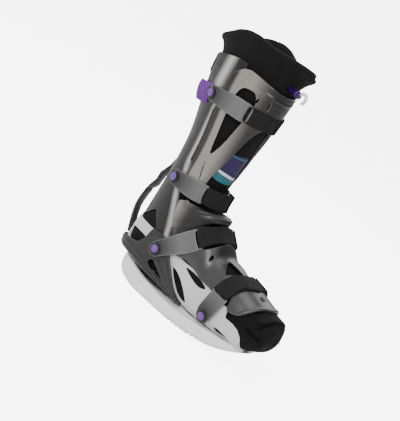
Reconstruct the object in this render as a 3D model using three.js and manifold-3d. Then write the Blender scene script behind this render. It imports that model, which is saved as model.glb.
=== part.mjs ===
// Medical walking boot: a padded liner held by rigid front and rear shells on a rocker sole.
// Millimetres. +X points to the toes, +Z up, and -Y is the right side of the boot.
// The origin is on the ground, straight below the ankle hub's axis.

import * as THREE from 'three';
import { mergeVertices } from 'three/addons/utils/BufferGeometryUtils.js';
import Module from 'manifold-3d';

const wasm = await Module();
wasm.setup();

// Leg of the boot
const BOOT_HEIGHT = 452; // ground to the highest point of the collar
const CALF_DEPTH = 139; // liner, front to back at the calf
const CALF_WIDTH = 127; // liner, side to side at the calf
const CALF_SETBACK = 42; // middle of the calf behind the ankle axis
const COLLAR_FLARE = 14; // collar beyond the liner below it
const COLLAR_DIP = 42; // how far the collar drops at the back

// Foot of the boot
const FOOT_LENGTH = 313; // liner, heel to toe
const FOOT_WIDTH = 100; // liner, across the ball of the foot
const HEEL_REACH = 76; // liner's heel behind the ankle axis
const INSTEP_HEIGHT = 164; // top of the foot in front of the leg
const ANKLE_HEIGHT = 78; // ankle hub's axis above the ground
const HUB_RADIUS = 17;

// Sole
const SOLE_HEIGHT = 24; // ground to the liner's seat under the foot
const SOLE_LENGTH = 278;
const SOLE_REACH = 70; // sole behind the ankle axis
const SOLE_LIP = 2.4; // rim of the sole outside the foot shell
const SOLE_CHAMFER = 7;

// Walls and clearances
const LINER_WALL = 9;
const COLLAR_WALL = 13;
const SHELL_WALL = 2.8;
const FRAME_WALL = 4;
const STRAP_WALL = 2.8;
const WEB_WALL = 2.2;
const BAND_WALL = 1.6;
const FLAP_WALL = 2;
const GAITER_WALL = 1.4;
const LABEL_WALL = 0.6;
const BAND_BULGE = 10; // how far the calf band stands away from the leg at the back
const BAND_START = 112; // in degrees from the front of the leg
const GAP = 0.4; // between neighbouring pieces

// Straps
const STRAP_WIDTH = 32;
const ANKLE_LEAN = 49.5; // of the ankle strap, in degrees
const EAR_RADIUS = 12.5;
const BUTTON_RADIUS = 6.5;
const KNOB_RADIUS = 5.5;
const HOSE_RADIUS = 2;
const WASHER_RADIUS = 9;
const PIN_RADIUS = 3.6;
const PIN_HOLE = 4.2; // radius of the holes that the pins stand in
const RIVET_RADIUS = 5.2;
const RIVET_ANGLE = 61; // from the front of the ankle, in degrees

// Rear strut
const STRUT_WIDTH = 15;
const STRUT_WALL = 4.5;
const STRUT_STAND = 5.5; // middle of the strut behind the heel frame

// Fineness of the curved forms
const AROUND = 20; // a multiple of four
const FOOT_STATIONS = 11;

// Depths of the layers, measured outwards from the liner's surface
const REAR = { from: GAP, to: GAP + SHELL_WALL };
const FRONT = { from: REAR.to + GAP, to: REAR.to + GAP + SHELL_WALL };
const FRAME = { from: REAR.to + GAP, to: REAR.to + GAP + FRAME_WALL };
const STRAP = { from: FRONT.to + GAP, to: FRONT.to + GAP + STRAP_WALL };
const WEB = { from: STRAP.to + GAP, to: STRAP.to + GAP + WEB_WALL };
const CLEAR = 30; // how far a cutter reaches past the wall that it cuts

const COLOURS = {
  sole: { color: 0xeceae6, roughness: 0.6, metalness: 0 },
  footShell: { color: 0xc9c8c6, roughness: 0.5, metalness: 0 },
  rearShell: { color: 0x4b4e50, roughness: 0.35, metalness: 0.4 },
  frontShell: { color: 0x8f8882, roughness: 0.35, metalness: 0.4 },
  instep: { color: 0x45484a, roughness: 0.3, metalness: 0.4 },
  liner: { color: 0x1d1e20, roughness: 0.95, metalness: 0 },
  arm: { color: 0x5f6062, roughness: 0.5, metalness: 0 },
  web: { color: 0x3a3c3e, roughness: 0.85, metalness: 0 },
  button: { color: 0xa679d2, roughness: 0.4, metalness: 0 },
  band: { color: 0x6d3fa8, roughness: 0.7, metalness: 0 },
  label: { color: 0x3b1d78, roughness: 0.7, metalness: 0 },
  knob: { color: 0x2f1a78, roughness: 0.4, metalness: 0 },
  hook: { color: 0xdfe2e4, roughness: 0.3, metalness: 0 },
};

const boot = new THREE.Group();
const { lerp, clamp, degToRad } = THREE.MathUtils;

// Height up the leg as a share of the boot's height, and the section there as shares
// of the calf's setback, depth and width.
const LEG_SECTIONS = [
  { at: 0.129, setback: 0.5, depth: 0.79, width: 0.62 },
  { at: 0.189, setback: 0.52, depth: 0.8, width: 0.64 },
  { at: 0.321, setback: 0.6, depth: 0.757, width: 0.64 },
  { at: 0.416, setback: 0.74, depth: 0.67, width: 0.655 },
  { at: 0.57, setback: 0.79, depth: 0.728, width: 0.734 },
  { at: 0.758, setback: 0.978, depth: 0.926, width: 0.94 },
  { at: 0.858, setback: 1.033, depth: 0.98, width: 1 },
  { at: 1, setback: 1.12, depth: 1.05, width: 1.04 },
];

// Place along the liner's foot from the heel, its half width as a share of the foot's
// half width, and its underside and top as shares of the instep's height.
const FOOT_SECTIONS = [
  { at: 0, half: 0.34, under: 0.337, top: 0.585 },
  { at: 0.02, half: 0.55, under: 0.264, top: 0.689 },
  { at: 0.06, half: 0.7, under: 0.21, top: 0.793 },
  { at: 0.12, half: 0.78, under: 0.183, top: 0.876 },
  { at: 0.2, half: 0.82, under: 0.171, top: 0.938 },
  { at: 0.32, half: 0.845, under: 0.169, top: 0.984 },
  { at: 0.38, half: 0.86, under: 0.169, top: 0.984 },
  { at: 0.44, half: 0.88, under: 0.169, top: 0.933 },
  { at: 0.5, half: 0.9, under: 0.169, top: 0.85 },
  { at: 0.55, half: 0.92, under: 0.171, top: 0.767 },
  { at: 0.63, half: 0.96, under: 0.176, top: 0.736 },
  { at: 0.74, half: 1, under: 0.191, top: 0.694 },
  { at: 0.84, half: 0.97, under: 0.207, top: 0.648 },
  { at: 0.91, half: 0.88, under: 0.22, top: 0.627 },
  { at: 0.96, half: 0.7, under: 0.264, top: 0.618 },
  { at: 0.985, half: 0.52, under: 0.326, top: 0.606 },
  { at: 1, half: 0.3, under: 0.409, top: 0.554 },
];

// Smooth curve through one column of a table, read at a place along it.
function sample(rows, column, at) {
  const last = rows.length - 1;
  let i = 0;
  while (i < last - 1 && at > rows[i + 1].at) i += 1;
  const a = rows[i];
  const b = rows[i + 1];
  const before = rows[Math.max(i - 1, 0)];
  const after = rows[Math.min(i + 2, last)];
  const span = b.at - a.at;
  const t = clamp((at - a.at) / span, 0, 1);
  const leave = ((b[column] - before[column]) / (b.at - before.at)) * span;
  const arrive = ((after[column] - a[column]) / (after.at - a.at)) * span;
  const rise = b[column] - a[column];
  return a[column] + t * (leave + t * (3 * rise - 2 * leave - arrive + t * (leave + arrive - 2 * rise)));
}

// Closed body from points and triangles, turned so that its faces point outwards.
function body(points, faces) {
  let volume = 0;
  for (const [i, j, k] of faces) {
    volume += points[i].dot(new THREE.Vector3().crossVectors(points[j], points[k]));
  }
  const geometry = new THREE.BufferGeometry();
  const positions = points.flatMap((point) => point.toArray());
  const index = faces.flatMap(([i, j, k]) => (volume < 0 ? [i, k, j] : [i, j, k]));
  geometry.setAttribute('position', new THREE.Float32BufferAttribute(positions, 3));
  geometry.setIndex(index);
  return solid(geometry);
}

// Solid of a closed three.js geometry.
function solid(geometry) {
  const bare = geometry.clone();
  bare.deleteAttribute('normal');
  bare.deleteAttribute('uv');
  const merged = mergeVertices(bare, 1e-4);
  return new wasm.Manifold(new wasm.Mesh({
    numProp: 3,
    vertProperties: new Float32Array(merged.attributes.position.array),
    triVerts: new Uint32Array(merged.index.array),
  }));
}

// Mesh of a solid, added to the boot.
function add(name, shape, colour) {
  const data = shape.getMesh();
  const geometry = new THREE.BufferGeometry();
  geometry.setAttribute('position', new THREE.BufferAttribute(data.vertProperties, 3));
  geometry.setIndex(new THREE.BufferAttribute(data.triVerts, 1));
  geometry.computeVertexNormals();
  const mesh = new THREE.Mesh(geometry, new THREE.MeshStandardMaterial(COLOURS[colour]));
  mesh.name = name;
  boot.add(mesh);
}

// Body through closed rings of points, capped at both ends.
function loft(rings) {
  const count = rings[0].length;
  const points = rings.flat();
  const faces = [];
  for (let r = 0; r < rings.length - 1; r += 1) {
    for (let i = 0; i < count; i += 1) {
      const a = r * count + i;
      const b = r * count + ((i + 1) % count);
      faces.push([a, b, b + count], [a, b + count, a + count]);
    }
  }
  for (const [start, flip] of [[0, true], [(rings.length - 1) * count, false]]) {
    for (let i = 1; i < count - 1; i += 1) {
      faces.push(flip ? [start, start + i + 1, start + i] : [start, start + i, start + i + 1]);
    }
  }
  return body(points, faces);
}

// Curved plate on a surface. Each station has its place `at` and the lower and upper ends.
function plate(surface, stations, inner, outer, tiers = 1) {
  const rows = stations.length;
  const columns = tiers + 1;
  const points = [];
  for (const depth of [inner, outer]) {
    for (const { at, low, high } of stations) {
      for (let t = 0; t < columns; t += 1) points.push(surface(at, lerp(low, high, t / tiers), depth));
    }
  }
  const far = rows * columns;
  const faces = [];
  const quad = (a, b, c, d) => faces.push([a, b, c], [a, c, d]);
  for (let r = 0; r < rows - 1; r += 1) {
    for (let t = 0; t < tiers; t += 1) {
      const a = r * columns + t;
      quad(a, a + 1, a + columns + 1, a + columns);
      quad(far + a, far + a + columns, far + a + columns + 1, far + a + 1);
    }
    const low = r * columns;
    const high = low + tiers;
    quad(low, low + columns, far + low + columns, far + low);
    quad(high, far + high, far + high + columns, high + columns);
  }
  for (let t = 0; t < tiers; t += 1) {
    const end = (rows - 1) * columns + t;
    quad(t, far + t, far + t + 1, t + 1);
    quad(end, end + 1, far + end + 1, far + end);
  }
  return body(points, faces);
}

// Stations with more of them put in at every multiple of a step, so that plates on one
// surface bend at the same places.
function refine(rows, step) {
  const out = [rows[0]];
  for (let i = 1; i < rows.length; i += 1) {
    const a = rows[i - 1];
    const b = rows[i];
    for (let k = Math.ceil(a.at / step); k * step < b.at; k += 1) {
      const t = (k * step - a.at) / (b.at - a.at);
      const near = Math.min(k * step - a.at, b.at - k * step);
      if (near > 0.2 * step) {
        out.push({ at: k * step, low: lerp(a.low, b.low, t), high: lerp(a.high, b.high, t) });
      }
    }
    out.push(b);
  }
  return out;
}

// Stations given for the right side up to the middle, repeated for the left side.
function bothSides(rows) {
  const left = rows.filter((row) => row.at !== 0).map((row) => ({ ...row, at: -row.at }));
  return [...rows, ...left.reverse()];
}

// Solid of a geometry whose own Y axis is turned to a direction and put at a place.
function turned(geometry, at, out) {
  const spin = new THREE.Quaternion().setFromUnitVectors(new THREE.Vector3(0, 1, 0), out);
  return solid(geometry.applyQuaternion(spin).translate(at.x, at.y, at.z));
}

function latheProfile(rows) {
  return rows.map(([radius, height]) => new THREE.Vector2(radius, height));
}

// Copy of a solid on the other side of the boot.
function mirrored(shape) {
  return shape.mirror([0, 1, 0]);
}

// Solid of a side view outline of points (x, z), between two places across the boot.
function sidePrism(outline, yLow = -2 * FOOT_WIDTH, yHigh = 2 * FOOT_WIDTH) {
  const shape = new THREE.Shape(outline.map(([x, z]) => new THREE.Vector2(x, z)));
  const geometry = new THREE.ExtrudeGeometry(shape, { depth: yHigh - yLow, bevelEnabled: false });
  geometry.rotateX(Math.PI / 2);
  geometry.translate(0, yHigh, 0);
  return solid(geometry);
}

// Lengths of the outlines below, as shares of the foot's length ahead of the ankle
// axis and of the ankle's height, turned into millimetres.
const ahead = (share) => share * FOOT_LENGTH;
const up = (share) => share * ANKLE_HEIGHT;
const outlineOf = (rows) => rows.map((row) => [ahead(row.ahead), up(row.up)]);
const legHeight = (share) => share * BOOT_HEIGHT;
const sized = (rows, size) => rows.map((row) => ({ at: row.at, low: size(row.low), high: size(row.high) }));
const legRows = (rows) => sized(rows, legHeight);
const footRows = (rows) => sized(rows, ahead);

// Leg surface: an angle from the front in degrees, minus to the right, and a height.
function onLeg(angle, z, depth) {
  const at = z / BOOT_HEIGHT;
  const turn = degToRad(angle);
  const middle = -CALF_SETBACK * sample(LEG_SECTIONS, 'setback', at);
  const halfDepth = (CALF_DEPTH / 2) * sample(LEG_SECTIONS, 'depth', at) + depth;
  const halfWidth = (CALF_WIDTH / 2) * sample(LEG_SECTIONS, 'width', at) + depth;
  return new THREE.Vector3(middle + halfDepth * Math.cos(turn), halfWidth * Math.sin(turn), z);
}

// Foot surface: an angle from the top in degrees, minus to the right, and a place ahead.
const FOOT_CORNER = 3.4; // squareness of the sides' lower half
const FOOT_CROWN = 2.3; // squareness of the upper half

function footSection(at) {
  return {
    half: (FOOT_WIDTH / 2) * sample(FOOT_SECTIONS, 'half', at),
    under: INSTEP_HEIGHT * sample(FOOT_SECTIONS, 'under', at),
    top: INSTEP_HEIGHT * sample(FOOT_SECTIONS, 'top', at),
  };
}

function onFoot(angle, x, depth) {
  const middle = FOOT_LENGTH / 2 - HEEL_REACH;
  const unstretched = middle + ((x - middle) * FOOT_LENGTH) / (FOOT_LENGTH + 2 * depth);
  const { half, under, top } = footSection((unstretched + HEEL_REACH) / FOOT_LENGTH);
  const turn = degToRad(angle);
  const across = Math.sin(turn);
  const rise = Math.cos(turn);
  const power = rise < 0 ? FOOT_CORNER : FOOT_CROWN;
  const tall = (top - under) / 2 + depth;
  const wide = half + depth;
  const sum = Math.abs(across / wide) ** power + Math.abs(rise / tall) ** power;
  const radius = sum ** (-1 / power);
  return new THREE.Vector3(x, radius * across, (top + under) / 2 + radius * rise);
}

// Ankle surface: place down the fan of bands, with its side and front points given
// ahead of the ankle axis as shares of the calf's depth, and up as shares of the instep.
const ANKLE_SECTIONS = [
  { at: 0, sideAhead: -0.2, sideUp: 1.037, frontAhead: 0.163, frontUp: 1.045 },
  { at: 0.25, sideAhead: -0.165, sideUp: 0.927, frontAhead: 0.307, frontUp: 1.07 },
  { at: 0.45, sideAhead: -0.13, sideUp: 0.817, frontAhead: 0.386, frontUp: 1.04 },
  { at: 0.7, sideAhead: -0.065, sideUp: 0.671, frontAhead: 0.385, frontUp: 0.958 },
  { at: 1, sideAhead: -0.014, sideUp: 0.512, frontAhead: 0.463, frontUp: 0.914 },
];

function onAnkle(angle, at, depth) {
  const place = (column, size) => size * sample(ANKLE_SECTIONS, column, at);
  const side = new THREE.Vector3(place('sideAhead', CALF_DEPTH), 0, place('sideUp', INSTEP_HEIGHT));
  const front = new THREE.Vector3(place('frontAhead', CALF_DEPTH), 0, place('frontUp', INSTEP_HEIGHT));
  const along = front.clone().sub(side);
  const reach = along.length() + depth;
  const half = 0.42 * FOOT_WIDTH + depth;
  const across = Math.sin(degToRad(angle));
  const ahead = Math.cos(degToRad(angle));
  const radius = (Math.abs(across / half) ** 2.2 + Math.abs(ahead / reach) ** 2.2) ** (-1 / 2.2);
  return side.addScaledVector(along.normalize(), radius * ahead).setY(radius * across);
}

// Heights of the leg's rings as shares of the boot's height
const LEG_LEVELS = [0.129, 0.21, 0.3, 0.37, 0.45, 0.57, 0.7, 0.83, 0.929];

// Solid form of the leg at a depth.
function legForm(depth) {
  const ring = (z) => Array.from({ length: AROUND }, (_, i) => onLeg((360 * i) / AROUND, z, depth));
  return loft(LEG_LEVELS.map((share, i) => ring(legHeight(share) - (i === 0 ? depth : 0))));
}

// Place from the heel as a share of the sole's length. Underside and rim are shares of
// the seat's height, and width is a share of the widest place.
const SOLE_SECTIONS = [
  { at: 0, width: 0.14, under: 0.92, rim: 1.33 },
  { at: 0.014, width: 0.32, under: 0.6, rim: 1.37 },
  { at: 0.036, width: 0.45, under: 0.44, rim: 1.41 },
  { at: 0.065, width: 0.58, under: 0.32, rim: 1.43 },
  { at: 0.1, width: 0.68, under: 0.22, rim: 1.41 },
  { at: 0.145, width: 0.76, under: 0.1, rim: 1.33 },
  { at: 0.2, width: 0.82, under: 0, rim: 1.2 },
  { at: 0.29, width: 0.87, under: 0, rim: 1.08 },
  { at: 0.48, width: 0.91, under: 0, rim: 0.96 },
  { at: 0.61, width: 0.96, under: 0.05, rim: 1.03 },
  { at: 0.7, width: 1, under: 0.2, rim: 1.15 },
  { at: 0.79, width: 1, under: 0.38, rim: 1.3 },
  { at: 0.87, width: 0.98, under: 0.6, rim: 1.44 },
  { at: 0.94, width: 0.84, under: 0.88, rim: 1.53 },
  { at: 0.98, width: 0.6, under: 1.08, rim: 1.56 },
  { at: 1, width: 0.28, under: 1.2, rim: 1.56 },
];

// Solid form of the foot at a depth, heel to toe.
function footForm(depth) {
  const middle = FOOT_LENGTH / 2 - HEEL_REACH;
  const rings = [];
  for (let s = 0; s <= FOOT_STATIONS; s += 1) {
    const t = (1 - Math.cos((Math.PI * s) / FOOT_STATIONS)) / 2;
    const x = middle + (t - 0.5) * (FOOT_LENGTH + 2 * depth);
    rings.push(Array.from({ length: AROUND }, (_, i) => onFoot((360 * i) / AROUND, x, depth)));
  }
  return loft(rings);
}

const forms = new Map();

// Solid form of the whole boot at a depth.
function form(depth) {
  if (!forms.has(depth)) forms.set(depth, legForm(depth).add(footForm(depth)));
  return forms.get(depth);
}

const wall = (layer) => form(layer.to).subtract(form(layer.from));

// Piece of a layer's wall within a stretch of a surface.
function panel(layer, surface, rows) {
  const stretch = plate(surface, refine(rows, 30), -CLEAR / 2, CLEAR / 2);
  return wall(layer).intersect(stretch);
}

addSole();
addFootShell();
addHeelFrame();
addCalfShell();
addStrut();
addShinShell();
addGaiter();
addInstepShell();
addLiner();
addStraps();
addValve();

// Rocker sole
function addSole() {
  const widest = FOOT_WIDTH / 2 + REAR.to + GAP + SOLE_LIP;
  const rings = SOLE_SECTIONS.map(({ at, width, under, rim }) => {
    const x = at * SOLE_LENGTH - SOLE_REACH;
    const half = width * widest;
    const low = under * SOLE_HEIGHT;
    const high = rim * SOLE_HEIGHT;
    const edge = Math.min(SOLE_CHAMFER, (high - low) / 2, half / 2);
    const right = [
      [-half + edge, low],
      [-half + edge * 0.25, low + edge * 0.55],
      [-half, low + edge * 1.6],
      [-half, high],
    ];
    const left = right.map(([y, z]) => [-y, z]).reverse();
    return [...right, ...left].map(([y, z]) => new THREE.Vector3(x, y, z));
  });
  const sole = loft(rings).subtract(footForm(REAR.to + GAP));
  add('rocker_sole', sole, 'sole');
}

// Foot shell: heel cup, side wings and toe guard
function addFootShell() {
  const profile = outlineOf([
    { ahead: -0.36, up: 1.269 },
    { ahead: -0.06, up: 1.258 },
    { ahead: 0.06, up: 1.183 },
    { ahead: 0.17, up: 1.162 },
    { ahead: 0.28, up: 1.18 },
    { ahead: 0.37, up: 1.11 },
    { ahead: 0.42, up: 1.04 },
    { ahead: 0.53, up: 1.032 },
    { ahead: 0.54, up: 0.849 },
    { ahead: 0.6, up: 0.849 },
    { ahead: 0.65, up: 0.806 },
    { ahead: 0.68, up: 0.698 },
    { ahead: 0.69, up: 0.548 },
    { ahead: 0.69, up: 0.138 },
    { ahead: -0.36, up: 0.138 },
  ]);
  const windows = [
    [
      { ahead: -0.23, up: 1.043 },
      { ahead: -0.06, up: 1.032 },
      { ahead: -0.13, up: 0.731 },
      { ahead: -0.2, up: 0.698 },
    ],
    [
      { ahead: 0.118, up: 0.914 },
      { ahead: 0.15, up: 0.925 },
      { ahead: 0.2, up: 0.849 },
      { ahead: 0.26, up: 0.677 },
      { ahead: 0.305, up: 0.472 },
      { ahead: 0.24, up: 0.472 },
    ],
    [
      { ahead: 0.2, up: 1.11 },
      { ahead: 0.28, up: 1.12 },
      { ahead: 0.365, up: 1.045 },
      { ahead: 0.31, up: 0.98 },
    ],
    [
      { ahead: 0.51, up: 0.569 },
      { ahead: 0.655, up: 0.526 },
      { ahead: 0.51, up: 0.462 },
    ],
  ];
  let shell = wall(REAR).intersect(sidePrism(profile));
  for (const window of windows) shell = shell.subtract(sidePrism(outlineOf(window)));
  add('foot_shell', shell, 'footShell');
}

// Heel frame: a band round the heel with the ankle hub and a leg that runs to the sole
function addHeelFrame() {
  const profile = outlineOf([
    { ahead: -0.34, up: 0.569 },
    { ahead: -0.34, up: 0.731 },
    { ahead: -0.2, up: 0.774 },
    { ahead: -0.125, up: 0.838 },
    { ahead: -0.07, up: 1.022 },
    { ahead: 0.085, up: 1.032 },
    { ahead: 0.122, up: 0.892 },
    { ahead: 0.185, up: 0.634 },
    { ahead: 0.24, up: 0.42 },
    { ahead: 0.272, up: 0.37 },
    { ahead: 0.262, up: 0.3 },
    { ahead: 0.14, up: 0.338 },
    { ahead: -0.02, up: 0.386 },
    { ahead: -0.08, up: 0.451 },
    { ahead: -0.14, up: 0.505 },
    { ahead: -0.2, up: 0.537 },
  ]);
  const window = outlineOf([
    { ahead: -0.02, up: 0.634 },
    { ahead: 0.0, up: 0.774 },
    { ahead: 0.02, up: 0.763 },
    { ahead: 0.135, up: 0.483 },
    { ahead: 0.06, up: 0.515 },
  ]);
  const hub = new THREE.CylinderGeometry(HUB_RADIUS, HUB_RADIUS, 3 * FOOT_WIDTH, 18);
  hub.translate(0, 0, ANKLE_HEIGHT);
  const outline = sidePrism(profile).subtract(sidePrism(window)).add(solid(hub));
  let frame = wall(FRAME).intersect(outline);
  const boss = new THREE.CylinderGeometry(HUB_RADIUS, HUB_RADIUS, 2 * hubFace(), 18);
  boss.translate(0, 0, ANKLE_HEIGHT);
  frame = frame.add(solid(boss).subtract(form(FRAME.from)));
  const bracket = new THREE.BoxGeometry(STRUT_WIDTH, STRUT_WIDTH, up(0.106));
  bracket.translate(strutFoot().x, 0, up(0.628));
  frame = frame.add(solid(bracket).subtract(form(FRAME.from)));
  const rim = SOLE_SECTIONS.map((row) => [row.at * SOLE_LENGTH - SOLE_REACH, row.rim * SOLE_HEIGHT + GAP]);
  const belowRim = sidePrism([
    [-FOOT_LENGTH, -CLEAR],
    [-FOOT_LENGTH, rim[0][1]],
    ...rim,
    [FOOT_LENGTH, -CLEAR],
  ]);
  const bore = new THREE.CylinderGeometry(PIN_HOLE, PIN_HOLE, CLEAR, 8);
  bore.translate(0, hubFace() - STRAP_WALL + CLEAR / 2, 0).translate(0, 0, ANKLE_HEIGHT);
  frame = frame.subtract(belowRim).subtract(solid(bore)).subtract(mirrored(solid(bore)));
  add('heel_frame', frame, 'rearShell');
}

// Outer face of the ankle hub, from the middle of the boot
function hubFace() {
  return footSection(HEEL_REACH / FOOT_LENGTH).half + FRAME.to + 1.2;
}

// Calf shell: rear half of the leg, with an arm each side down to the ankle hub
function addCalfShell() {
  const arc = bothSidesBehind([
    { at: 62, low: 0.72, high: 0.889 },
    { at: 74, low: 0.718, high: 0.891 },
    { at: 94, low: 0.716, high: 0.892 },
    { at: 97, low: 0.47, high: 0.892 },
    { at: 110, low: 0.47, high: 0.881 },
    { at: 140, low: 0.47, high: 0.864 },
    { at: 180, low: 0.47, high: 0.858 },
  ]);
  const behind = plate(onLeg, refine(arc, 30), -CLEAR / 2, CLEAR / 2);
  const arms = sidePrism(outlineOf([
    { ahead: -0.6, up: 2.831 },
    { ahead: -0.1, up: 2.831 },
    { ahead: -0.088, up: 2.615 },
    { ahead: -0.074, up: 2.217 },
    { ahead: -0.04, up: 1.711 },
    { ahead: -0.004, up: 1.276 },
    { ahead: -0.076, up: 1.276 },
    { ahead: -0.105, up: 1.431 },
    { ahead: -0.147, up: 1.625 },
    { ahead: -0.23, up: 1.276 },
    { ahead: -0.6, up: 1.276 },
  ]));
  const outline = behind.add(arms);
  const boss = new THREE.CylinderGeometry(HUB_RADIUS + GAP, HUB_RADIUS + GAP, 3 * FOOT_WIDTH, 18);
  boss.translate(0, 0, ANKLE_HEIGHT);
  const shell = wall(REAR).intersect(outline).subtract(solid(boss));
  add('calf_shell', shell, 'rearShell');

  const spine = [
    { at: 171, low: legHeight(0.782), high: legHeight(0.848) },
    { at: 176, low: legHeight(0.772), high: legHeight(0.853) },
    { at: 184, low: legHeight(0.772), high: legHeight(0.853) },
    { at: 189, low: legHeight(0.782), high: legHeight(0.848) },
  ];
  const ridge = { from: FRONT.from, to: FRONT.from + 2 * SHELL_WALL };
  add('back_spine', panel(ridge, onLeg, spine), 'rearShell');
}

// Stations from the right side round the back to the left, in shares of the boot's height
function bothSidesBehind(rows) {
  const scaled = legRows(rows);
  const left = scaled.filter((row) => row.at < 180).map((row) => ({ ...row, at: 360 - row.at }));
  return [...scaled, ...left.reverse()];
}

// Back of the leg at a height, as an x place
function backOfLeg(z, depth) {
  return onLeg(180, z, depth).x;
}

// Where the strut stands on the heel frame
function strutFoot() {
  const heel = backOfLeg(ANKLE_HEIGHT, FRAME.to);
  return new THREE.Vector2(heel - STRUT_STAND, up(0.72));
}

// Strut behind the heel and the latch that holds it to the calf shell
function addStrut() {
  const foot = strutFoot();
  const low = legHeight(0.301);
  const high = legHeight(0.45);
  const back = backOfLeg(high, REAR.to);
  const top = new THREE.Vector2(back - 4.6 * STRUT_WALL, low);
  const bow = new THREE.Vector2(top.x - STRUT_WALL / 2, lerp(foot.y, top.y, 0.55));
  const line = new THREE.SplineCurve([new THREE.Vector2(foot.x, foot.y + GAP), bow, top]);
  const side = (shift) => line.getSpacedPoints(7).map((point) => [point.x + shift, point.y]);
  const outline = [...side(-STRUT_WALL / 2), ...side(STRUT_WALL / 2).reverse()];
  add('back_strut', sidePrism(outline, -STRUT_WIDTH / 2, STRUT_WIDTH / 2), 'rearShell');

  // Place behind the calf shell in walls of the strut, and height as a share of the latch's
  const edge = [
    { behind: 4.1, rise: 0.005 },
    { behind: 2.7, rise: 0.16 },
    { behind: 2.4, rise: 0.45 },
    { behind: 0.7, rise: 0.68 },
    { behind: 0.1, rise: 0.75 },
    { behind: 0.1, rise: 1 },
    { behind: 0.9, rise: 1 },
    { behind: 1.4, rise: 0.8 },
    { behind: 3.5, rise: 0.5 },
    { behind: 3.5, rise: 0.3 },
    { behind: 5.1, rise: 0.005 },
  ].map(({ behind, rise }) => [back - behind * STRUT_WALL, lerp(low + GAP, high, rise)]);
  const half = STRUT_WIDTH / 2 + GAP;
  const latch = sidePrism(edge, -half, half).subtract(form(REAR.to + GAP));
  add('strut_latch', latch, 'rearShell');
}

// Shin shell: front half of the leg with side windows, ribs and an open V below
function addShinShell() {
  const half = legRows([
    { at: -91, low: 0.516, high: 0.83 },
    { at: -86, low: 0.478, high: 0.85 },
    { at: -78, low: 0.422, high: 0.874 },
    { at: -69, low: 0.422, high: 0.883 },
    { at: -48, low: 0.422, high: 0.875 },
    { at: -45, low: 0.492, high: 0.873 },
    { at: -38, low: 0.544, high: 0.87 },
    { at: -30, low: 0.623, high: 0.865 },
    { at: -24, low: 0.676, high: 0.862 },
    { at: -16, low: 0.712, high: 0.861 },
    { at: 0, low: 0.724, high: 0.861 },
  ]);
  const window = legRows([
    { at: -73, low: 0.688, high: 0.784 },
    { at: -70, low: 0.562, high: 0.81 },
    { at: -66, low: 0.556, high: 0.82 },
    { at: -57, low: 0.606, high: 0.825 },
    { at: -50, low: 0.679, high: 0.82 },
    { at: -44, low: 0.757, high: 0.793 },
  ]);
  const split = legRows([
    { at: -69, low: 0.516, high: 0.533 },
    { at: -65, low: 0.483, high: 0.498 },
    { at: -60, low: 0.442, high: 0.456 },
  ]);
  let shell = panel(FRONT, onLeg, bothSides(half));
  for (const rows of [window, split]) {
    const cutter = plate(onLeg, rows, -CLEAR / 2, CLEAR / 2);
    shell = shell.subtract(cutter).subtract(mirrored(cutter));
  }
  add('shin_shell', shell, 'frontShell');

  const patch = legRows([
    { at: -48, low: 0.493, high: 0.585 },
    { at: -30, low: 0.485, high: 0.598 },
    { at: 0, low: 0.482, high: 0.603 },
  ]);
  const label = panel({ from: GAP, to: GAP + LABEL_WALL }, onLeg, bothSides(patch));
  add('label_patch', label, 'label');

  const loop = bothSidesBehind([
    { at: BAND_START, low: 0.696, high: 0.767 },
    { at: 125, low: 0.686, high: 0.759 },
    { at: 180, low: 0.668, high: 0.738 },
  ]);
  const share = (angle) => clamp((angle - BAND_START) / (360 - 2 * BAND_START), 0, 1);
  const bulge = (angle) => BAND_BULGE * Math.sin(Math.PI * share(angle));
  const loose = (angle, z, depth) => onLeg(angle, z, depth + bulge(angle));
  const band = plate(loose, refine(loop, 12), FRONT.from, FRONT.from + BAND_WALL, 2);
  add('calf_band', band, 'band');
}

// Surface of a belt that leans: its middle line runs through a point at an angle above
// level, `v` lies across the belt, and `depth` outwards.
function beltSurface({ x, z, lean, reach, half, square }) {
  const turn = degToRad(lean);
  const along = new THREE.Vector3(Math.cos(turn), 0, Math.sin(turn));
  const across = new THREE.Vector3(Math.sin(turn), 0, -Math.cos(turn));
  return (angle, v, depth) => {
    const side = Math.sin(degToRad(angle));
    const front = Math.cos(degToRad(angle));
    const sum = Math.abs(side / (half + depth)) ** square + Math.abs(front / (reach + depth)) ** square;
    const radius = sum ** (-1 / square);
    return new THREE.Vector3(x, 0, z)
      .addScaledVector(along, radius * front)
      .addScaledVector(across, v)
      .add(new THREE.Vector3(0, radius * side, 0));
  };
}

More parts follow.
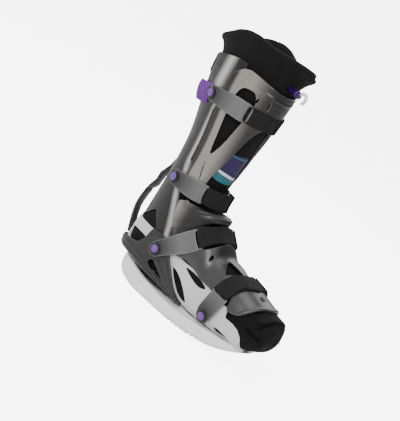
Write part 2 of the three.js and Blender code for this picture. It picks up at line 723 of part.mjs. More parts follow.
// Gaiter: three overlapping bands that fan out round the front of the ankle
function addGaiter() {
  const bands = [
    {
      name: 'gaiter_plate',
      depth: GAP + 2 * (GAITER_WALL + 2 * GAP),
      half: [
        { at: -77, low: 0.16, high: 0.44 },
        { at: -72, low: 0.1, high: 0.54 },
        { at: -60, low: 0.07, high: 0.56 },
        { at: -42, low: 0.06, high: 0.5 },
        { at: -18, low: 0.06, high: 0.42 },
        { at: 0, low: 0.06, high: 0.4 },
      ],
    },
    {
      name: 'gaiter_middle',
      depth: 3 * GAP + GAITER_WALL,
      half: [
        { at: -70, low: 0.5, high: 0.68 },
        { at: -42, low: 0.43, high: 0.7 },
        { at: -18, low: 0.36, high: 0.54 },
        { at: 0, low: 0.35, high: 0.5 },
      ],
    },
    {
      name: 'gaiter_lower',
      depth: GAP,
      half: [
        { at: -64, low: 0.66, high: 0.82 },
        { at: -42, low: 0.64, high: 0.92 },
        { at: 0, low: 0.64, high: 0.84 },
      ],
    },
  ];
  const inside = form(GAP);
  const rivet = onAnkle(-RIVET_ANGLE, 0.17, bands[0].depth);
  const out = normalOf(onAnkle, -RIVET_ANGLE, 0.17, bands[0].depth, 0.02);
  for (const { name, depth, half } of bands) {
    const rows = refine(bothSides(half), 12);
    let band = plate(onAnkle, rows, depth, depth + GAITER_WALL, 4);
    band = band.subtract(inside).subtract(ankleEnvelope());
    if (name === 'gaiter_plate') {
      const drill = RIVET_RADIUS / 2 + GAP;
      const hole = turned(new THREE.CylinderGeometry(drill, drill, CLEAR / 2, 10), rivet, out);
      band = band.subtract(hole).subtract(mirrored(hole));
    }
    add(name, band, 'frontShell');
  }
  const profile = latheProfile([
    [0, 0],
    [RIVET_RADIUS / 2, 0],
    [RIVET_RADIUS / 2, GAITER_WALL + GAP],
    [RIVET_RADIUS, GAITER_WALL + GAP],
    [RIVET_RADIUS * 0.8, GAITER_WALL + GAP + RIVET_RADIUS * 0.35],
    [0, GAITER_WALL + GAP + RIVET_RADIUS * 0.5],
  ]);
  const pin = turned(new THREE.LatheGeometry(profile, 10), rivet, out);
  add('rivet_right', pin, 'hook');
  add('rivet_left', mirrored(pin), 'hook');
}

// Instep shell and toe visor over the foot
function addInstepShell() {
  const half = footRows([
    { at: -95, low: 0.107, high: 0.13 },
    { at: -88, low: 0.112, high: 0.165 },
    { at: -81, low: 0.13, high: 0.25 },
    { at: -75, low: 0.145, high: 0.46 },
    { at: -60, low: 0.18, high: 0.46 },
    { at: -40, low: 0.225, high: 0.46 },
    { at: -16, low: 0.266, high: 0.46 },
    { at: 0, low: 0.266, high: 0.46 },
  ]);
  const window = footRows([
    { at: -44, low: 0.39, high: 0.4 },
    { at: -26, low: 0.345, high: 0.43 },
    { at: -13, low: 0.325, high: 0.445 },
    { at: -9, low: 0.42, high: 0.445 },
  ]);
  const slit = footRows([
    { at: -50, low: 0.27, high: 0.28 },
    { at: -40, low: 0.25, high: 0.3 },
    { at: -36, low: 0.26, high: 0.275 },
  ]);
  let shell = panel(FRONT, onFoot, bothSides(half)).subtract(ankleEnvelope());
  for (const rows of [window, slit]) {
    const cutter = plate(onFoot, rows, -CLEAR / 3, CLEAR / 3);
    shell = shell.subtract(cutter).subtract(mirrored(cutter));
  }
  add('instep_shell', shell, 'instep');

  const visorHalf = footRows([
    { at: -84, low: 0.53, high: 0.55 },
    { at: -78, low: 0.525, high: 0.6 },
    { at: -60, low: 0.5, high: 0.63 },
    { at: -30, low: 0.48, high: 0.655 },
    { at: 0, low: 0.47, high: 0.672 },
  ]);
  const visor = panel(FRONT, onFoot, bothSides(visorHalf));
  const boss = onFoot(0, ahead(0.57), FRONT.from);
  const up = normalOf(onFoot, 0, ahead(0.57), FRONT.from);
  const stud = new THREE.CylinderGeometry(PIN_RADIUS, PIN_RADIUS, 1.7 * SHELL_WALL, 10);
  add('toe_visor', visor.add(turned(stud.translate(0, 0.85 * SHELL_WALL, 0), boss, up)), 'instep');
}

// Liner: a padded, hollow boot with a flared collar
function addLiner() {
  const collarLow = legHeight(0.904);
  const collar = (angle, z, depth) => {
    return onLeg(angle, z, depth + COLLAR_FLARE * rise(z) ** 2);
  };
  const angles = Array.from({ length: AROUND }, (_, i) => (360 * i) / AROUND);
  const ring = (z, depth) => angles.map((angle) => collar(angle, z, depth));
  const rise = (z) => clamp((z - collarLow) / (BOOT_HEIGHT - collarLow), 0, 1);
  const leg = LEG_LEVELS.filter((share) => legHeight(share) < collarLow).map(legHeight);
  const lip = [0, 0.4, 0.75, 1].map((t) => lerp(collarLow, BOOT_HEIGHT, t));
  const outside = [...leg, ...lip];
  const inside = [leg[0] + LINER_WALL, ...leg.slice(1), ...lip, BOOT_HEIGHT + LINER_WALL];
  const thickness = (z) => lerp(LINER_WALL, COLLAR_WALL, rise(z));
  const outer = loft(outside.map((z) => ring(z, 0))).add(footForm(0));
  const inner = loft(inside.map((z) => ring(z, -thickness(z)))).add(footForm(-LINER_WALL));
  const dipRows = [
    { behind: 3, drop: 1 },
    { behind: 0.62, drop: 1 },
    { behind: 0.46, drop: 0.9 },
    { behind: 0.35, drop: 0.7 },
    { behind: 0.27, drop: 0.4 },
    { behind: 0.19, drop: 0.13 },
    { behind: 0.08, drop: -0.02 },
    { behind: 0, drop: -2 },
    { behind: 3, drop: -2 },
  ];
  const dip = sidePrism(dipRows.map(({ behind, drop }) => [
    -CALF_SETBACK - behind * CALF_DEPTH,
    BOOT_HEIGHT - drop * COLLAR_DIP,
  ]));
  const tuck = sidePrism([
    [-0.08 * CALF_SETBACK, BOOT_HEIGHT + CLEAR],
    [-0.08 * CALF_SETBACK, BOOT_HEIGHT - 0.05 * COLLAR_DIP],
    [0.4 * CALF_SETBACK, BOOT_HEIGHT - 0.3 * COLLAR_DIP],
    [2 * CALF_SETBACK, BOOT_HEIGHT - 0.5 * COLLAR_DIP],
    [2 * CALF_SETBACK, BOOT_HEIGHT + CLEAR],
  ], 0.1 * CALF_WIDTH);
  add('liner', outer.subtract(inner).subtract(dip).subtract(tuck), 'liner');

  const wrapHalf = footRows([
    { at: -62, low: 0.67, high: 0.695 },
    { at: -48, low: 0.652, high: 0.716 },
    { at: 0, low: 0.648, high: 0.732 },
  ]);
  add('toe_wrap', panel({ from: GAP, to: GAP + FLAP_WALL }, onFoot, bothSides(wrapHalf)), 'liner');
}

// Belt of the ankle strap: a surface that leans forward from the hub to the instep
function ankleBelt() {
  return beltSurface({
    x: 0,
    z: ANKLE_HEIGHT,
    lean: ANKLE_LEAN,
    reach: 0.575 * INSTEP_HEIGHT,
    half: hubFace() - STRAP.from + GAP,
    square: 3,
  });
}

// Space that the ankle strap takes, and all that lies outside it
function ankleEnvelope() {
  const edge = { low: -0.5 * STRAP_WIDTH, high: 0.75 * STRAP_WIDTH };
  const rows = [{ at: -96, ...edge }, { at: 96, ...edge }];
  return plate(ankleBelt(), refine(rows, 12), STRAP.from - 1.5 * GAP, STRAP.to + CLEAR);
}

// Straps: two plastic arms on buttons, joined over the front by a folded web
function addStraps() {
  for (const strap of [topStrap(), lowStrap(), ankleStrap(), toeStrap()]) addStrap(strap);
}

// Station of a strap round the leg: its middle's height as a share of the boot's height,
// and its half width as a share of the strap's width.
function legStation(at, middle, half) {
  return { at, low: legHeight(middle) - half * STRAP_WIDTH, high: legHeight(middle) + half * STRAP_WIDTH };
}

function topStrap() {
  const { low, high } = legStation(0, 0.747, 0.4);
  return {
    name: 'top',
    surface: onLeg,
    arm: [
      legStation(-105, 0.739, 0.4),
      legStation(-90, 0.743, 0.42),
      legStation(-70, 0.747, 0.5),
      legStation(-44, 0.747, 0.5),
    ],
    slot: { from: -50, to: -46, low, high },
    web: [legStation(-47, 0.747, 0.46), legStation(0, 0.747, 0.46)],
    button: { at: -105, v: legHeight(0.739) },
  };
}

function lowStrap() {
  const { low, high } = legStation(0, 0.423, 0.4);
  return {
    name: 'low',
    surface: onLeg,
    arm: [
      legStation(-104, 0.416, 0.36),
      legStation(-88, 0.418, 0.41),
      legStation(-64, 0.4195, 0.46),
      legStation(-38, 0.424, 0.5),
    ],
    slot: { from: -46, to: -41, low, high },
    web: [legStation(-42, 0.424, 0.46), legStation(0, 0.429, 0.5)],
    button: { at: -104, v: legHeight(0.416) },
  };
}

// Station of the ankle strap, with its edges as shares of the strap's width
function beltStation(at, low, high) {
  return { at, low: low * STRAP_WIDTH, high: high * STRAP_WIDTH };
}

function ankleStrap() {
  const ear = EAR_RADIUS / STRAP_WIDTH;
  return {
    name: 'ankle',
    surface: ankleBelt(),
    layered: false,
    arm: [
      beltStation(-90, -ear, ear),
      beltStation(-70, -0.37, 0.5),
      beltStation(-45, -0.37, 0.68),
      beltStation(-26, -0.4, 0.7),
    ],
    slot: { from: -33, to: -28.5, low: -0.3 * STRAP_WIDTH, high: 0.6 * STRAP_WIDTH },
    web: [beltStation(-29, -0.36, 0.62), beltStation(-12, -0.36, 0.5), beltStation(0, -0.44, 0.44)],
    button: { at: -90, v: 0 },
  };
}

function toeStrap() {
  return {
    name: 'toe',
    surface: onFoot,
    arm: footRows([
      { at: -118, low: 0.395, high: 0.475 },
      { at: -110, low: 0.39, high: 0.485 },
      { at: -92, low: 0.4, high: 0.5 },
      { at: -72, low: 0.408, high: 0.512 },
    ]),
    slot: { from: -80, to: -75, low: ahead(0.413), high: ahead(0.5) },
    web: footRows([
      { at: -76, low: 0.41, high: 0.508 },
      { at: -40, low: 0.425, high: 0.52 },
      { at: 0, low: 0.445, high: 0.542 },
    ]),
    button: { at: -118, v: ahead(0.435) },
  };
}

// Direction straight out of a surface at one of its points.
function normalOf(surface, at, v, depth, step = 1) {
  const point = surface(at, v, depth);
  const alongAngle = surface(at + 1, v, depth).sub(point);
  const alongWidth = surface(at, v + step, depth).sub(point);
  const normal = alongAngle.cross(alongWidth).normalize();
  const outside = surface(at, v, depth + 1).sub(point);
  return normal.dot(outside) < 0 ? normal.negate() : normal;
}

// Two arms, a web and two buttons
function addStrap({ name, surface, layered = true, arm, slot, web, button }) {
  const stretch = (layer, rows) => {
    if (layered) return panel(layer, surface, rows);
    return plate(surface, refine(rows, 12), layer.from, layer.to, 2);
  };
  const profile = latheProfile([
    [0, -STRAP_WALL * 0.9],
    [PIN_RADIUS, -STRAP_WALL * 0.9],
    [PIN_RADIUS, STRAP_WALL + GAP],
    [WASHER_RADIUS, STRAP_WALL + GAP],
    [WASHER_RADIUS, STRAP_WALL + GAP + 1],
    [BUTTON_RADIUS, STRAP_WALL + GAP + 1],
    [BUTTON_RADIUS * 0.9, STRAP_WALL + GAP + 2.4],
    [0, STRAP_WALL + GAP + 2.6],
  ]);
  for (const [side, sign] of [['right', 1], ['left', -1]]) {
    const sided = (rows) => rows.map((row) => ({ ...row, at: sign * row.at }));
    const inOrder = (rows) => sided(rows).sort((a, b) => a.at - b.at);
    const at = surface(sign * button.at, button.v, STRAP.from);
    const out = normalOf(surface, sign * button.at, button.v, STRAP.from);
    const disc = new THREE.CylinderGeometry(EAR_RADIUS, EAR_RADIUS, STRAP_WALL, 14);
    const ear = turned(disc.translate(0, STRAP_WALL / 2, 0), at, out);
    const bore = new THREE.CylinderGeometry(PIN_HOLE, PIN_HOLE, 3 * STRAP_WALL, 8);
    const rows = [
      { at: slot.from, low: slot.low, high: slot.high },
      { at: slot.to, low: slot.low, high: slot.high },
    ];
    const opening = plate(surface, inOrder(rows), FRONT.from, STRAP.to + CLEAR / 4);
    const strip = stretch(STRAP, inOrder(arm));
    const piece = strip.add(ear).subtract(opening).subtract(turned(bore, at, out));
    add(`strap_${name}_arm_${side}`, piece, 'arm');
    add(`button_${name}_${side}`, turned(new THREE.LatheGeometry(profile, 10), at, out), 'button');
  }
  add(`strap_${name}_web`, stretch(WEB, bothSides(web)), 'web');
}

// Air valve: a knob at the front of the collar and a thin hose that hangs from it
function addValve() {
  const seat = onLeg(-12, legHeight(0.882), 0);
  const base = new THREE.Vector3(0.15, 0, 1.6).multiplyScalar(KNOB_RADIUS).add(seat);
  const knob = new THREE.CylinderGeometry(0.84 * KNOB_RADIUS, KNOB_RADIUS, 1.6 * KNOB_RADIUS, 14);
  knob.rotateZ(-Math.PI / 2).translate(0.7 * KNOB_RADIUS, 0, 0).translate(base.x, base.y, base.z);
  add('valve_knob', solid(knob).subtract(form(2 * GAP)), 'knob');
  const curve = new THREE.CatmullRomCurve3([
    new THREE.Vector3(1.7, 0, 0.45),
    new THREE.Vector3(2.5, 0, 0.8),
    new THREE.Vector3(3.8, 0, 1.1),
    new THREE.Vector3(4.8, 0, 0.3),
    new THREE.Vector3(5, 0, -0.7),
    new THREE.Vector3(4.6, 0, -1.7),
  ].map((point) => point.multiplyScalar(KNOB_RADIUS).add(base)));
  const round = new THREE.Shape().absarc(0, 0, HOSE_RADIUS, 0, 2 * Math.PI);
  const hose = new THREE.ExtrudeGeometry(round, { steps: 7, extrudePath: curve, curveSegments: 3 });
  add('valve_hose', solid(hose), 'hook');
}

export default boot;
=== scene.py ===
"""Medical walking boot: the finished look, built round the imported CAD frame.

Lengths in this script are millimetres until a piece is finished, when its mesh is scaled
to metres. +X points to the toes, +Z up, and -Y is the right side of the boot.
"""

import logging
import math
from collections.abc import Callable, Iterable, Sequence
from dataclasses import dataclass
from enum import Enum

import bmesh
import bpy
import numpy as np
from mathutils import Matrix, Vector


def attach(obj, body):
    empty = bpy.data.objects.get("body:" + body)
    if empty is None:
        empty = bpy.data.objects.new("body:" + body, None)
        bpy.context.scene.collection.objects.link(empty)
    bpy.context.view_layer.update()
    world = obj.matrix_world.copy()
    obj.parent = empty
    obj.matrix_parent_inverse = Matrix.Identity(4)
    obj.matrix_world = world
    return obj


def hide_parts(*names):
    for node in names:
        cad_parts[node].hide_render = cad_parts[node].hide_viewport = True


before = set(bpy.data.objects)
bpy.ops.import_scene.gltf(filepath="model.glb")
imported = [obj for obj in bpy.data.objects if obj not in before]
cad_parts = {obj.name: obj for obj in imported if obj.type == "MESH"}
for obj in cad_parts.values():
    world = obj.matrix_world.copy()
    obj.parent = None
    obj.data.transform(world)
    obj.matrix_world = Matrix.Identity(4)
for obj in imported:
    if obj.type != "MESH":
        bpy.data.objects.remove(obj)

LOG = logging.getLogger("walking_boot")
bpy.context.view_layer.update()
MM = 0.001
ROOT = "root"

# Driving sizes of the boot, as in the CAD model
BOOT_HEIGHT = 452.0
CALF_DEPTH = 139.0
CALF_WIDTH = 127.0
CALF_SETBACK = 42.0
COLLAR_FLARE = 14.0
FOOT_LENGTH = 313.0
FOOT_WIDTH = 100.0
HEEL_REACH = 76.0
INSTEP_HEIGHT = 164.0
ANKLE_HEIGHT = 78.0
HUB_RADIUS = 17.0
SOLE_HEIGHT = 24.0
SOLE_LENGTH = 275.5
SOLE_REACH = 67.5
STRAP_WIDTH = 32.0
COLLAR_WALL = 13.0
GAP = 0.4


@dataclass(frozen=True)
class Layer:
    """Depths of one wall's inner and outer faces, outwards from the liner's surface."""

    inner: float
    outer: float


REAR = Layer(GAP, GAP + 2.8)
FRONT = Layer(REAR.outer + GAP, REAR.outer + GAP + 2.8)
FRAME = Layer(REAR.outer + GAP, REAR.outer + GAP + 4.0)
STRAP = Layer(FRONT.outer + GAP, FRONT.outer + GAP + 2.8)
WEB = Layer(STRAP.outer + GAP, STRAP.outer + GAP + 2.2)
HUB_FACE = 0.845 * FOOT_WIDTH / 2 + FRAME.outer + 1.2

Numbers = np.ndarray
Outline = list[tuple[float, float]]
Station = tuple[float, float, float]
Surface = Callable[[Numbers, Numbers, Numbers], Numbers]


class Table:
    """Smooth curves through the columns of a table, read at a place along it."""

    def __init__(self, names: str, rows: Sequence[tuple[float, ...]]) -> None:
        """Keeps the rows. The first column is the place along the form.

        Args:
            names: Names of the columns after the first, parted by spaces.
            rows: One tuple for each station.
        """
        self.rows = np.array(rows, float)
        self.columns = {name: i + 1 for i, name in enumerate(names.split())}

    def read(self, column: str, at: Numbers) -> Numbers:
        """Returns a column's value at each place.

        Args:
            column: Name of the column.
            at: Places along the form.
        """
        x = self.rows[:, 0]
        y = self.rows[:, self.columns[column]]
        last = len(x) - 1
        i = np.clip(np.searchsorted(x, at, side="left") - 1, 0, last - 1)
        before = np.maximum(i - 1, 0)
        after = np.minimum(i + 2, last)
        span = x[i + 1] - x[i]
        t = np.clip((at - x[i]) / span, 0, 1)
        leave = (y[i + 1] - y[before]) / (x[i + 1] - x[before]) * span
        arrive = (y[after] - y[i]) / (x[after] - x[i]) * span
        rise = y[i + 1] - y[i]
        bend = 3 * rise - 2 * leave - arrive
        return y[i] + t * (leave + t * (bend + t * (leave + arrive - 2 * rise)))


LEG = Table("setback depth width", [
    (0.129, 0.5, 0.79, 0.62), (0.189, 0.52, 0.8, 0.64), (0.321, 0.6, 0.757, 0.64),
    (0.416, 0.74, 0.67, 0.655), (0.57, 0.79, 0.728, 0.734), (0.758, 0.978, 0.926, 0.94),
    (0.858, 1.033, 0.98, 1.0), (1.0, 1.12, 1.05, 1.04),
])

FOOT = Table("half under top", [
    (0.0, 0.34, 0.337, 0.585), (0.02, 0.55, 0.264, 0.689), (0.06, 0.7, 0.21, 0.793),
    (0.12, 0.78, 0.183, 0.876), (0.2, 0.82, 0.171, 0.938), (0.32, 0.845, 0.169, 0.984),
    (0.38, 0.86, 0.169, 0.984), (0.44, 0.88, 0.169, 0.933), (0.5, 0.9, 0.169, 0.85),
    (0.55, 0.92, 0.171, 0.767), (0.63, 0.96, 0.176, 0.736), (0.74, 1.0, 0.191, 0.694),
    (0.84, 0.97, 0.207, 0.648), (0.91, 0.88, 0.22, 0.627), (0.96, 0.7, 0.264, 0.618),
    (0.985, 0.52, 0.326, 0.606), (1.0, 0.3, 0.409, 0.554),
])

ANKLE = Table("side_ahead side_up front_ahead front_up", [
    (0.0, -0.2, 1.037, 0.163, 1.045), (0.25, -0.165, 0.927, 0.307, 1.07),
    (0.45, -0.13, 0.817, 0.386, 1.04), (0.7, -0.065, 0.671, 0.385, 0.958),
    (1.0, -0.014, 0.512, 0.463, 0.914),
])

SOLE = Table("width under rim", [
    (0.0, 0.14, 0.92, 1.33), (0.014, 0.32, 0.6, 1.37), (0.036, 0.45, 0.44, 1.41),
    (0.065, 0.58, 0.32, 1.43), (0.1, 0.68, 0.22, 1.41), (0.145, 0.76, 0.12, 1.33),
    (0.2, 0.82, 0.02, 1.2), (0.29, 0.87, 0.0, 1.08), (0.48, 0.91, 0.0, 0.96),
    (0.61, 0.96, 0.05, 1.03), (0.7, 1.0, 0.2, 1.15), (0.79, 1.0, 0.38, 1.3),
    (0.87, 0.98, 0.6, 1.44), (0.94, 0.84, 0.88, 1.53), (0.98, 0.6, 1.08, 1.56),
    (1.0, 0.28, 1.2, 1.56),
])


COLLAR = Table("top start flare", [
    (-180, 0.912, 0.858, 15), (-150, 0.932, 0.862, 15), (-130, 0.959, 0.87, 14), (-110, 0.986, 0.88, 14),
    (-95, 1.0, 0.889, 14), (-80, 1.006, 0.889, 14), (-60, 1.0, 0.889, 14), (-30, 1.0, 0.87, 17),
    (-8, 0.995, 0.861, 20), (10, 0.985, 0.861, 20), (30, 0.968, 0.87, 17), (60, 0.962, 0.889, 14),
    (82, 0.972, 0.889, 14), (95, 0.99, 0.889, 14), (105, 1.0, 0.882, 14), (123, 1.0, 0.872, 14),
    (150, 0.96, 0.862, 15), (180, 0.912, 0.858, 15),
])


class BootForm:
    """The liner's outer form and the surfaces round it, at any depth outwards."""

    FOOT_CORNER = 3.4
    FOOT_CROWN = 2.3
    LEG_BOTTOM = 0.129 * BOOT_HEIGHT
    FOOT_MIDDLE = FOOT_LENGTH / 2 - HEEL_REACH
    HEEL_TURN = -30.0
    HEEL_RADIUS = 46.0
    HEEL_BACK = HEEL_TURN - HEEL_RADIUS * math.pi / 2
    LOW_TURN = 45.0

    def leg_size(self, z: Numbers, depth: Numbers) -> tuple[Numbers, Numbers, Numbers]:
        """Returns the leg's middle, half depth and half width at heights."""
        at = z / BOOT_HEIGHT
        return (
            -CALF_SETBACK * LEG.read("setback", at),
            CALF_DEPTH / 2 * LEG.read("depth", at) + depth,
            CALF_WIDTH / 2 * LEG.read("width", at) + depth,
        )

    def leg_angle(self, points: Numbers, depth: float) -> Numbers:
        """Returns the leg's angle from the front, in degrees, at points beside it."""
        middle, half_depth, half_width = self.leg_size(points[:, 2], depth)
        return np.degrees(np.arctan2(points[:, 1] / half_width, (points[:, 0] - middle) / half_depth))

    def foot_size(self, x: Numbers, depth: Numbers) -> tuple[Numbers, Numbers, Numbers]:
        """Returns the foot's half width, underside and top at places ahead."""
        stretch = FOOT_LENGTH / (FOOT_LENGTH + 2 * depth)
        at = (self.FOOT_MIDDLE + (x - self.FOOT_MIDDLE) * stretch + HEEL_REACH) / FOOT_LENGTH
        return (
            FOOT_WIDTH / 2 * FOOT.read("half", at) + depth,
            INSTEP_HEIGHT * FOOT.read("under", at) - depth,
            INSTEP_HEIGHT * FOOT.read("top", at) + depth,
        )

    def on_leg(self, angle: Numbers, z: Numbers, depth: Numbers) -> Numbers:
        """Returns points on the leg at an angle from the front and a height."""
        middle, half_depth, half_width = self.leg_size(z, depth)
        turn = np.radians(angle)
        return np.stack([middle + half_depth * np.cos(turn), half_width * np.sin(turn), z + 0 * angle], -1)

    def on_foot(self, angle: Numbers, x: Numbers, depth: Numbers) -> Numbers:
        """Returns points on the foot at an angle from the top and a place ahead."""
        half, under, top = self.foot_size(x, depth)
        across = np.sin(np.radians(angle))
        rise = np.cos(np.radians(angle))
        power = np.where(rise < 0, self.FOOT_CORNER, self.FOOT_CROWN)
        tall = (top - under) / 2
        radius = (np.abs(across / half) ** power + np.abs(rise / tall) ** power) ** (-1 / power)
        return np.stack([x + 0 * angle, radius * across, (top + under) / 2 + radius * rise], -1)

    def on_ankle(self, angle: Numbers, at: Numbers, depth: Numbers) -> Numbers:
        """Returns points on the fan of bands over the front of the ankle."""
        side, front = (
            np.stack([
                CALF_DEPTH * ANKLE.read(f"{end}_ahead", at), INSTEP_HEIGHT * ANKLE.read(f"{end}_up", at),
            ], -1)
            for end in ("side", "front")
        )
        along = front - side
        length = np.linalg.norm(along, axis=-1)
        across = np.sin(np.radians(angle))
        ahead = np.cos(np.radians(angle))
        sides = np.abs(across / (0.42 * FOOT_WIDTH + depth)) ** 2.2
        radius = (sides + np.abs(ahead / (length + depth)) ** 2.2) ** (-1 / 2.2)
        flat = side + along / length[..., None] * (radius * ahead)[..., None]
        return np.stack([flat[..., 0], radius * across, flat[..., 1]], -1)

    def holds(self, points: Numbers, depth: Numbers) -> Numbers:
        """Tells which points lie inside the whole form at a depth."""
        x, y, z = points[..., 0], points[..., 1], points[..., 2]
        middle, half_depth, half_width = self.leg_size(z, depth)
        leg = ((x - middle) / half_depth) ** 2 + (y / half_width) ** 2 < 1
        leg &= (z > self.LEG_BOTTOM - depth) & (z < BOOT_HEIGHT + 1)
        half, under, top = self.foot_size(x, depth)
        rise = z - (top + under) / 2
        power = np.where(rise < 0, self.FOOT_CORNER, self.FOOT_CROWN)
        tall = np.maximum((top - under) / 2, 1)
        foot = np.abs(y / half) ** power + np.abs(rise / tall) ** power < 1
        foot &= (x > -HEEL_REACH - depth) & (x < FOOT_LENGTH - HEEL_REACH + depth)
        return leg | foot

    def cast(self, starts: Numbers, ways: Numbers, depth: Numbers) -> Numbers:
        """Returns where rays from inside the form leave it.

        Args:
            starts: Points inside the form.
            ways: Directions, of any length.
            depth: Depth of the surface that the rays meet.
        """
        ways = ways / np.linalg.norm(ways, axis=-1, keepdims=True)
        near = np.zeros(len(starts))
        far = np.full(len(starts), 110.0)
        for _ in range(22):
            middle = (near + far) / 2
            inside = self.holds(starts + ways * middle[:, None], depth)
            near = np.where(inside, middle, near)
            far = np.where(inside, far, middle)
        return starts + ways * near[:, None]

    def round_leg(self, angle: Numbers, z: Numbers, depth: Numbers) -> Numbers:
        """Returns points of the whole form at the leg's angles and heights."""
        middle, half_depth, half_width = self.leg_size(z, depth * 0)
        turn = np.radians(angle)
        starts = np.stack([middle, 0 * angle, z + 0 * angle], -1)
        ways = np.stack([half_depth * np.cos(turn), half_width * np.sin(turn), 0 * angle], -1)
        return self.cast(starts, ways, depth)

    def round_heel(self, run: Numbers, z: Numbers, depth: Numbers) -> Numbers:
        """Returns points of the foot's sides and heel.

        Args:
            run: Place ahead on one side, and behind the heel's turn the way round it.
                Above the heel's back centre it goes on along the other side.
            z: Height, which bends under the foot where it is low.
            depth: Depth of the surface.
        """
        back = self.HEEL_BACK
        folded = np.where(run < back, 2 * back - run, run)
        side = np.where(run < back, 1.0, -1.0)
        turn = np.clip((self.HEEL_TURN - folded) / self.HEEL_RADIUS, 0, math.pi / 2)
        starts = np.stack([
            np.maximum(folded, self.HEEL_TURN), 0 * run, np.maximum(z, self.LOW_TURN) + 0 * run,
        ], -1)
        drop = np.minimum(z - self.LOW_TURN, 0) / self.LOW_TURN
        ways = np.stack([-np.sin(turn), side * np.cos(turn), drop + 0 * run], -1)
        return self.cast(starts, ways, depth)

    def heel_run(self, x: float) -> float:
        """Returns the way along round_heel of a place ahead seen from the right side."""
        reach = self.HEEL_TURN + HEEL_REACH
        if x >= self.HEEL_TURN:
            return x
        share = min((self.HEEL_TURN - x) / -reach * -1, 1.0)
        return self.HEEL_TURN - self.HEEL_RADIUS * math.asin(max(share, 0.0))

    def depth_at(self, points: Numbers) -> Numbers:
        """Returns how far points lie outside the form, minus where they are inside it."""
        low = np.full(len(points), -24.0)
        high = np.full(len(points), 30.0)
        for _ in range(18):
            middle = (low + high) / 2
            inside = self.holds(points, middle)
            high = np.where(inside, middle, high)
            low = np.where(inside, low, middle)
        return (low + high) / 2


FORM = BootForm()


@dataclass(frozen=True)
class Belt:
    """Surface of the ankle strap: it leans forward from the hub to the instep."""

    lean: float = 49.5
    reach: float = 0.575 * INSTEP_HEIGHT
    half: float = HUB_FACE - STRAP.inner + GAP
    square: float = 3.0

    def __call__(self, angle: Numbers, v: Numbers, depth: Numbers) -> Numbers:
        """Returns points on the belt at an angle and a place across it."""
        turn = math.radians(self.lean)
        side = np.sin(np.radians(angle))
        front = np.cos(np.radians(angle))
        sides = np.abs(side / (self.half + depth)) ** self.square
        radius = (sides + np.abs(front / (self.reach + depth)) ** self.square) ** (-1 / self.square)
        out = radius * front
        x = out * math.cos(turn) + v * math.sin(turn)
        z = ANKLE_HEIGHT + out * math.sin(turn) - v * math.cos(turn)
        return np.stack([x, radius * side, z], -1)


ANKLE_BELT = Belt()


def leg_height(share: float) -> float:
    """Returns a share of the boot's height."""
    return share * BOOT_HEIGHT


def ahead(share: float) -> float:
    """Returns a share of the foot's length, ahead of the ankle's axis."""
    return share * FOOT_LENGTH


def up(share: float) -> float:
    """Returns a share of the ankle's height."""
    return share * ANKLE_HEIGHT


def rounded(outline: Outline, rounds: int = 2, share: float = 0.22) -> Outline:
    """Returns a closed outline with its corners cut round.

    Args:
        outline: Points of the outline, in order.
        rounds: How often each corner is cut.
        share: How far from a corner the cut starts, as a share of the edge.
    """
    points = np.array(outline, float)
    for _ in range(rounds):
        after = np.roll(points, -1, axis=0)
        first = points + (after - points) * share
        second = points + (after - points) * (1 - share)
        points = np.stack([first, second], 1).reshape(-1, 2)
    return [tuple(point) for point in points]


def both_sides(rows: Sequence[Station]) -> list[Station]:
    """Returns stations of the right side up to the middle, repeated for the left."""
    return [*rows, *[(-at, low, high) for at, low, high in reversed(rows) if at != 0]]


def edges_of(rows: Sequence[Station], size: Callable[[float], float]) -> Outline:
    """Returns the closed outline of stations of (place, low, high)."""
    lows = [(at, size(low)) for at, low, _ in rows]
    highs = [(at, size(high)) for at, _, high in reversed(rows)]
    return [*lows, *highs]


def mirrored(outline: Outline) -> Outline:
    """Returns an outline on the other side of the boot."""
    return [(-u, v) for u, v in reversed(outline)]


def round_back(outline: Outline) -> Outline:
    """Returns an outline of the right side as it lies past the heel's back, on the left."""
    return [(2 * FORM.HEEL_BACK - run, z) for run, z in reversed(outline)]


class Region:
    """Flat area inside an outline and outside its holes."""

    def __init__(self, outline: Outline, holes: Iterable[Outline] = ()) -> None:
        """Keeps the loops as line segments."""
        self.loops = [np.array(loop, float) for loop in (outline, *holes)]

    def covers(self, points: Numbers) -> Numbers:
        """Tells which points lie in the area, by how often a ray crosses the loops."""
        crossings = np.zeros(len(points), int)
        x, y = points[:, 0:1], points[:, 1:2]
        for loop in self.loops:
            a, b = loop, np.roll(loop, -1, axis=0)
            rise = b[:, 1] - a[:, 1]
            spans = (a[:, 1] > y) != (b[:, 1] > y)
            run = np.where(rise == 0, 1, rise)
            meet = a[:, 0] + (y - a[:, 1]) / run * (b[:, 0] - a[:, 0])
            crossings += (spans & (x < meet)).sum(1)
        return crossings % 2 == 1

    def nearest(self, points: Numbers) -> Numbers:
        """Returns the nearest point of any loop to each point."""
        best = np.full(len(points), np.inf)
        found = points.copy()
        for loop in self.loops:
            a, b = loop, np.roll(loop, -1, axis=0)
            edge = b - a
            length = np.maximum((edge ** 2).sum(1), 1e-9)
            t = np.clip(((points[:, None] - a) * edge).sum(2) / length, 0, 1)
            foot = a + t[..., None] * edge
            gap = ((points[:, None] - foot) ** 2).sum(2)
            nearest = gap.argmin(1)
            distance = gap[np.arange(len(points)), nearest]
            closer = distance < best
            best = np.where(closer, distance, best)
            found[closer] = foot[np.arange(len(points)), nearest][closer]
        return found


def coordinates(bm: bmesh.types.BMesh) -> Numbers:
    """Returns the places of a mesh's vertices as rows."""
    return np.array([vertex.co for vertex in bm.verts], float).reshape(-1, 3)


def place(bm: bmesh.types.BMesh, points: Numbers) -> None:
    """Moves a mesh's vertices to rows of places."""
    for vertex, point in zip(bm.verts, points):
        vertex.co = Vector(point)


# Vertex layers read by the finishes: the rim layer marks bevel middles, which are painted paler as a
# highlight; the tone layer holds painted light and shade.
RIM = "rim"
PAINTED_LIGHT = "tone"


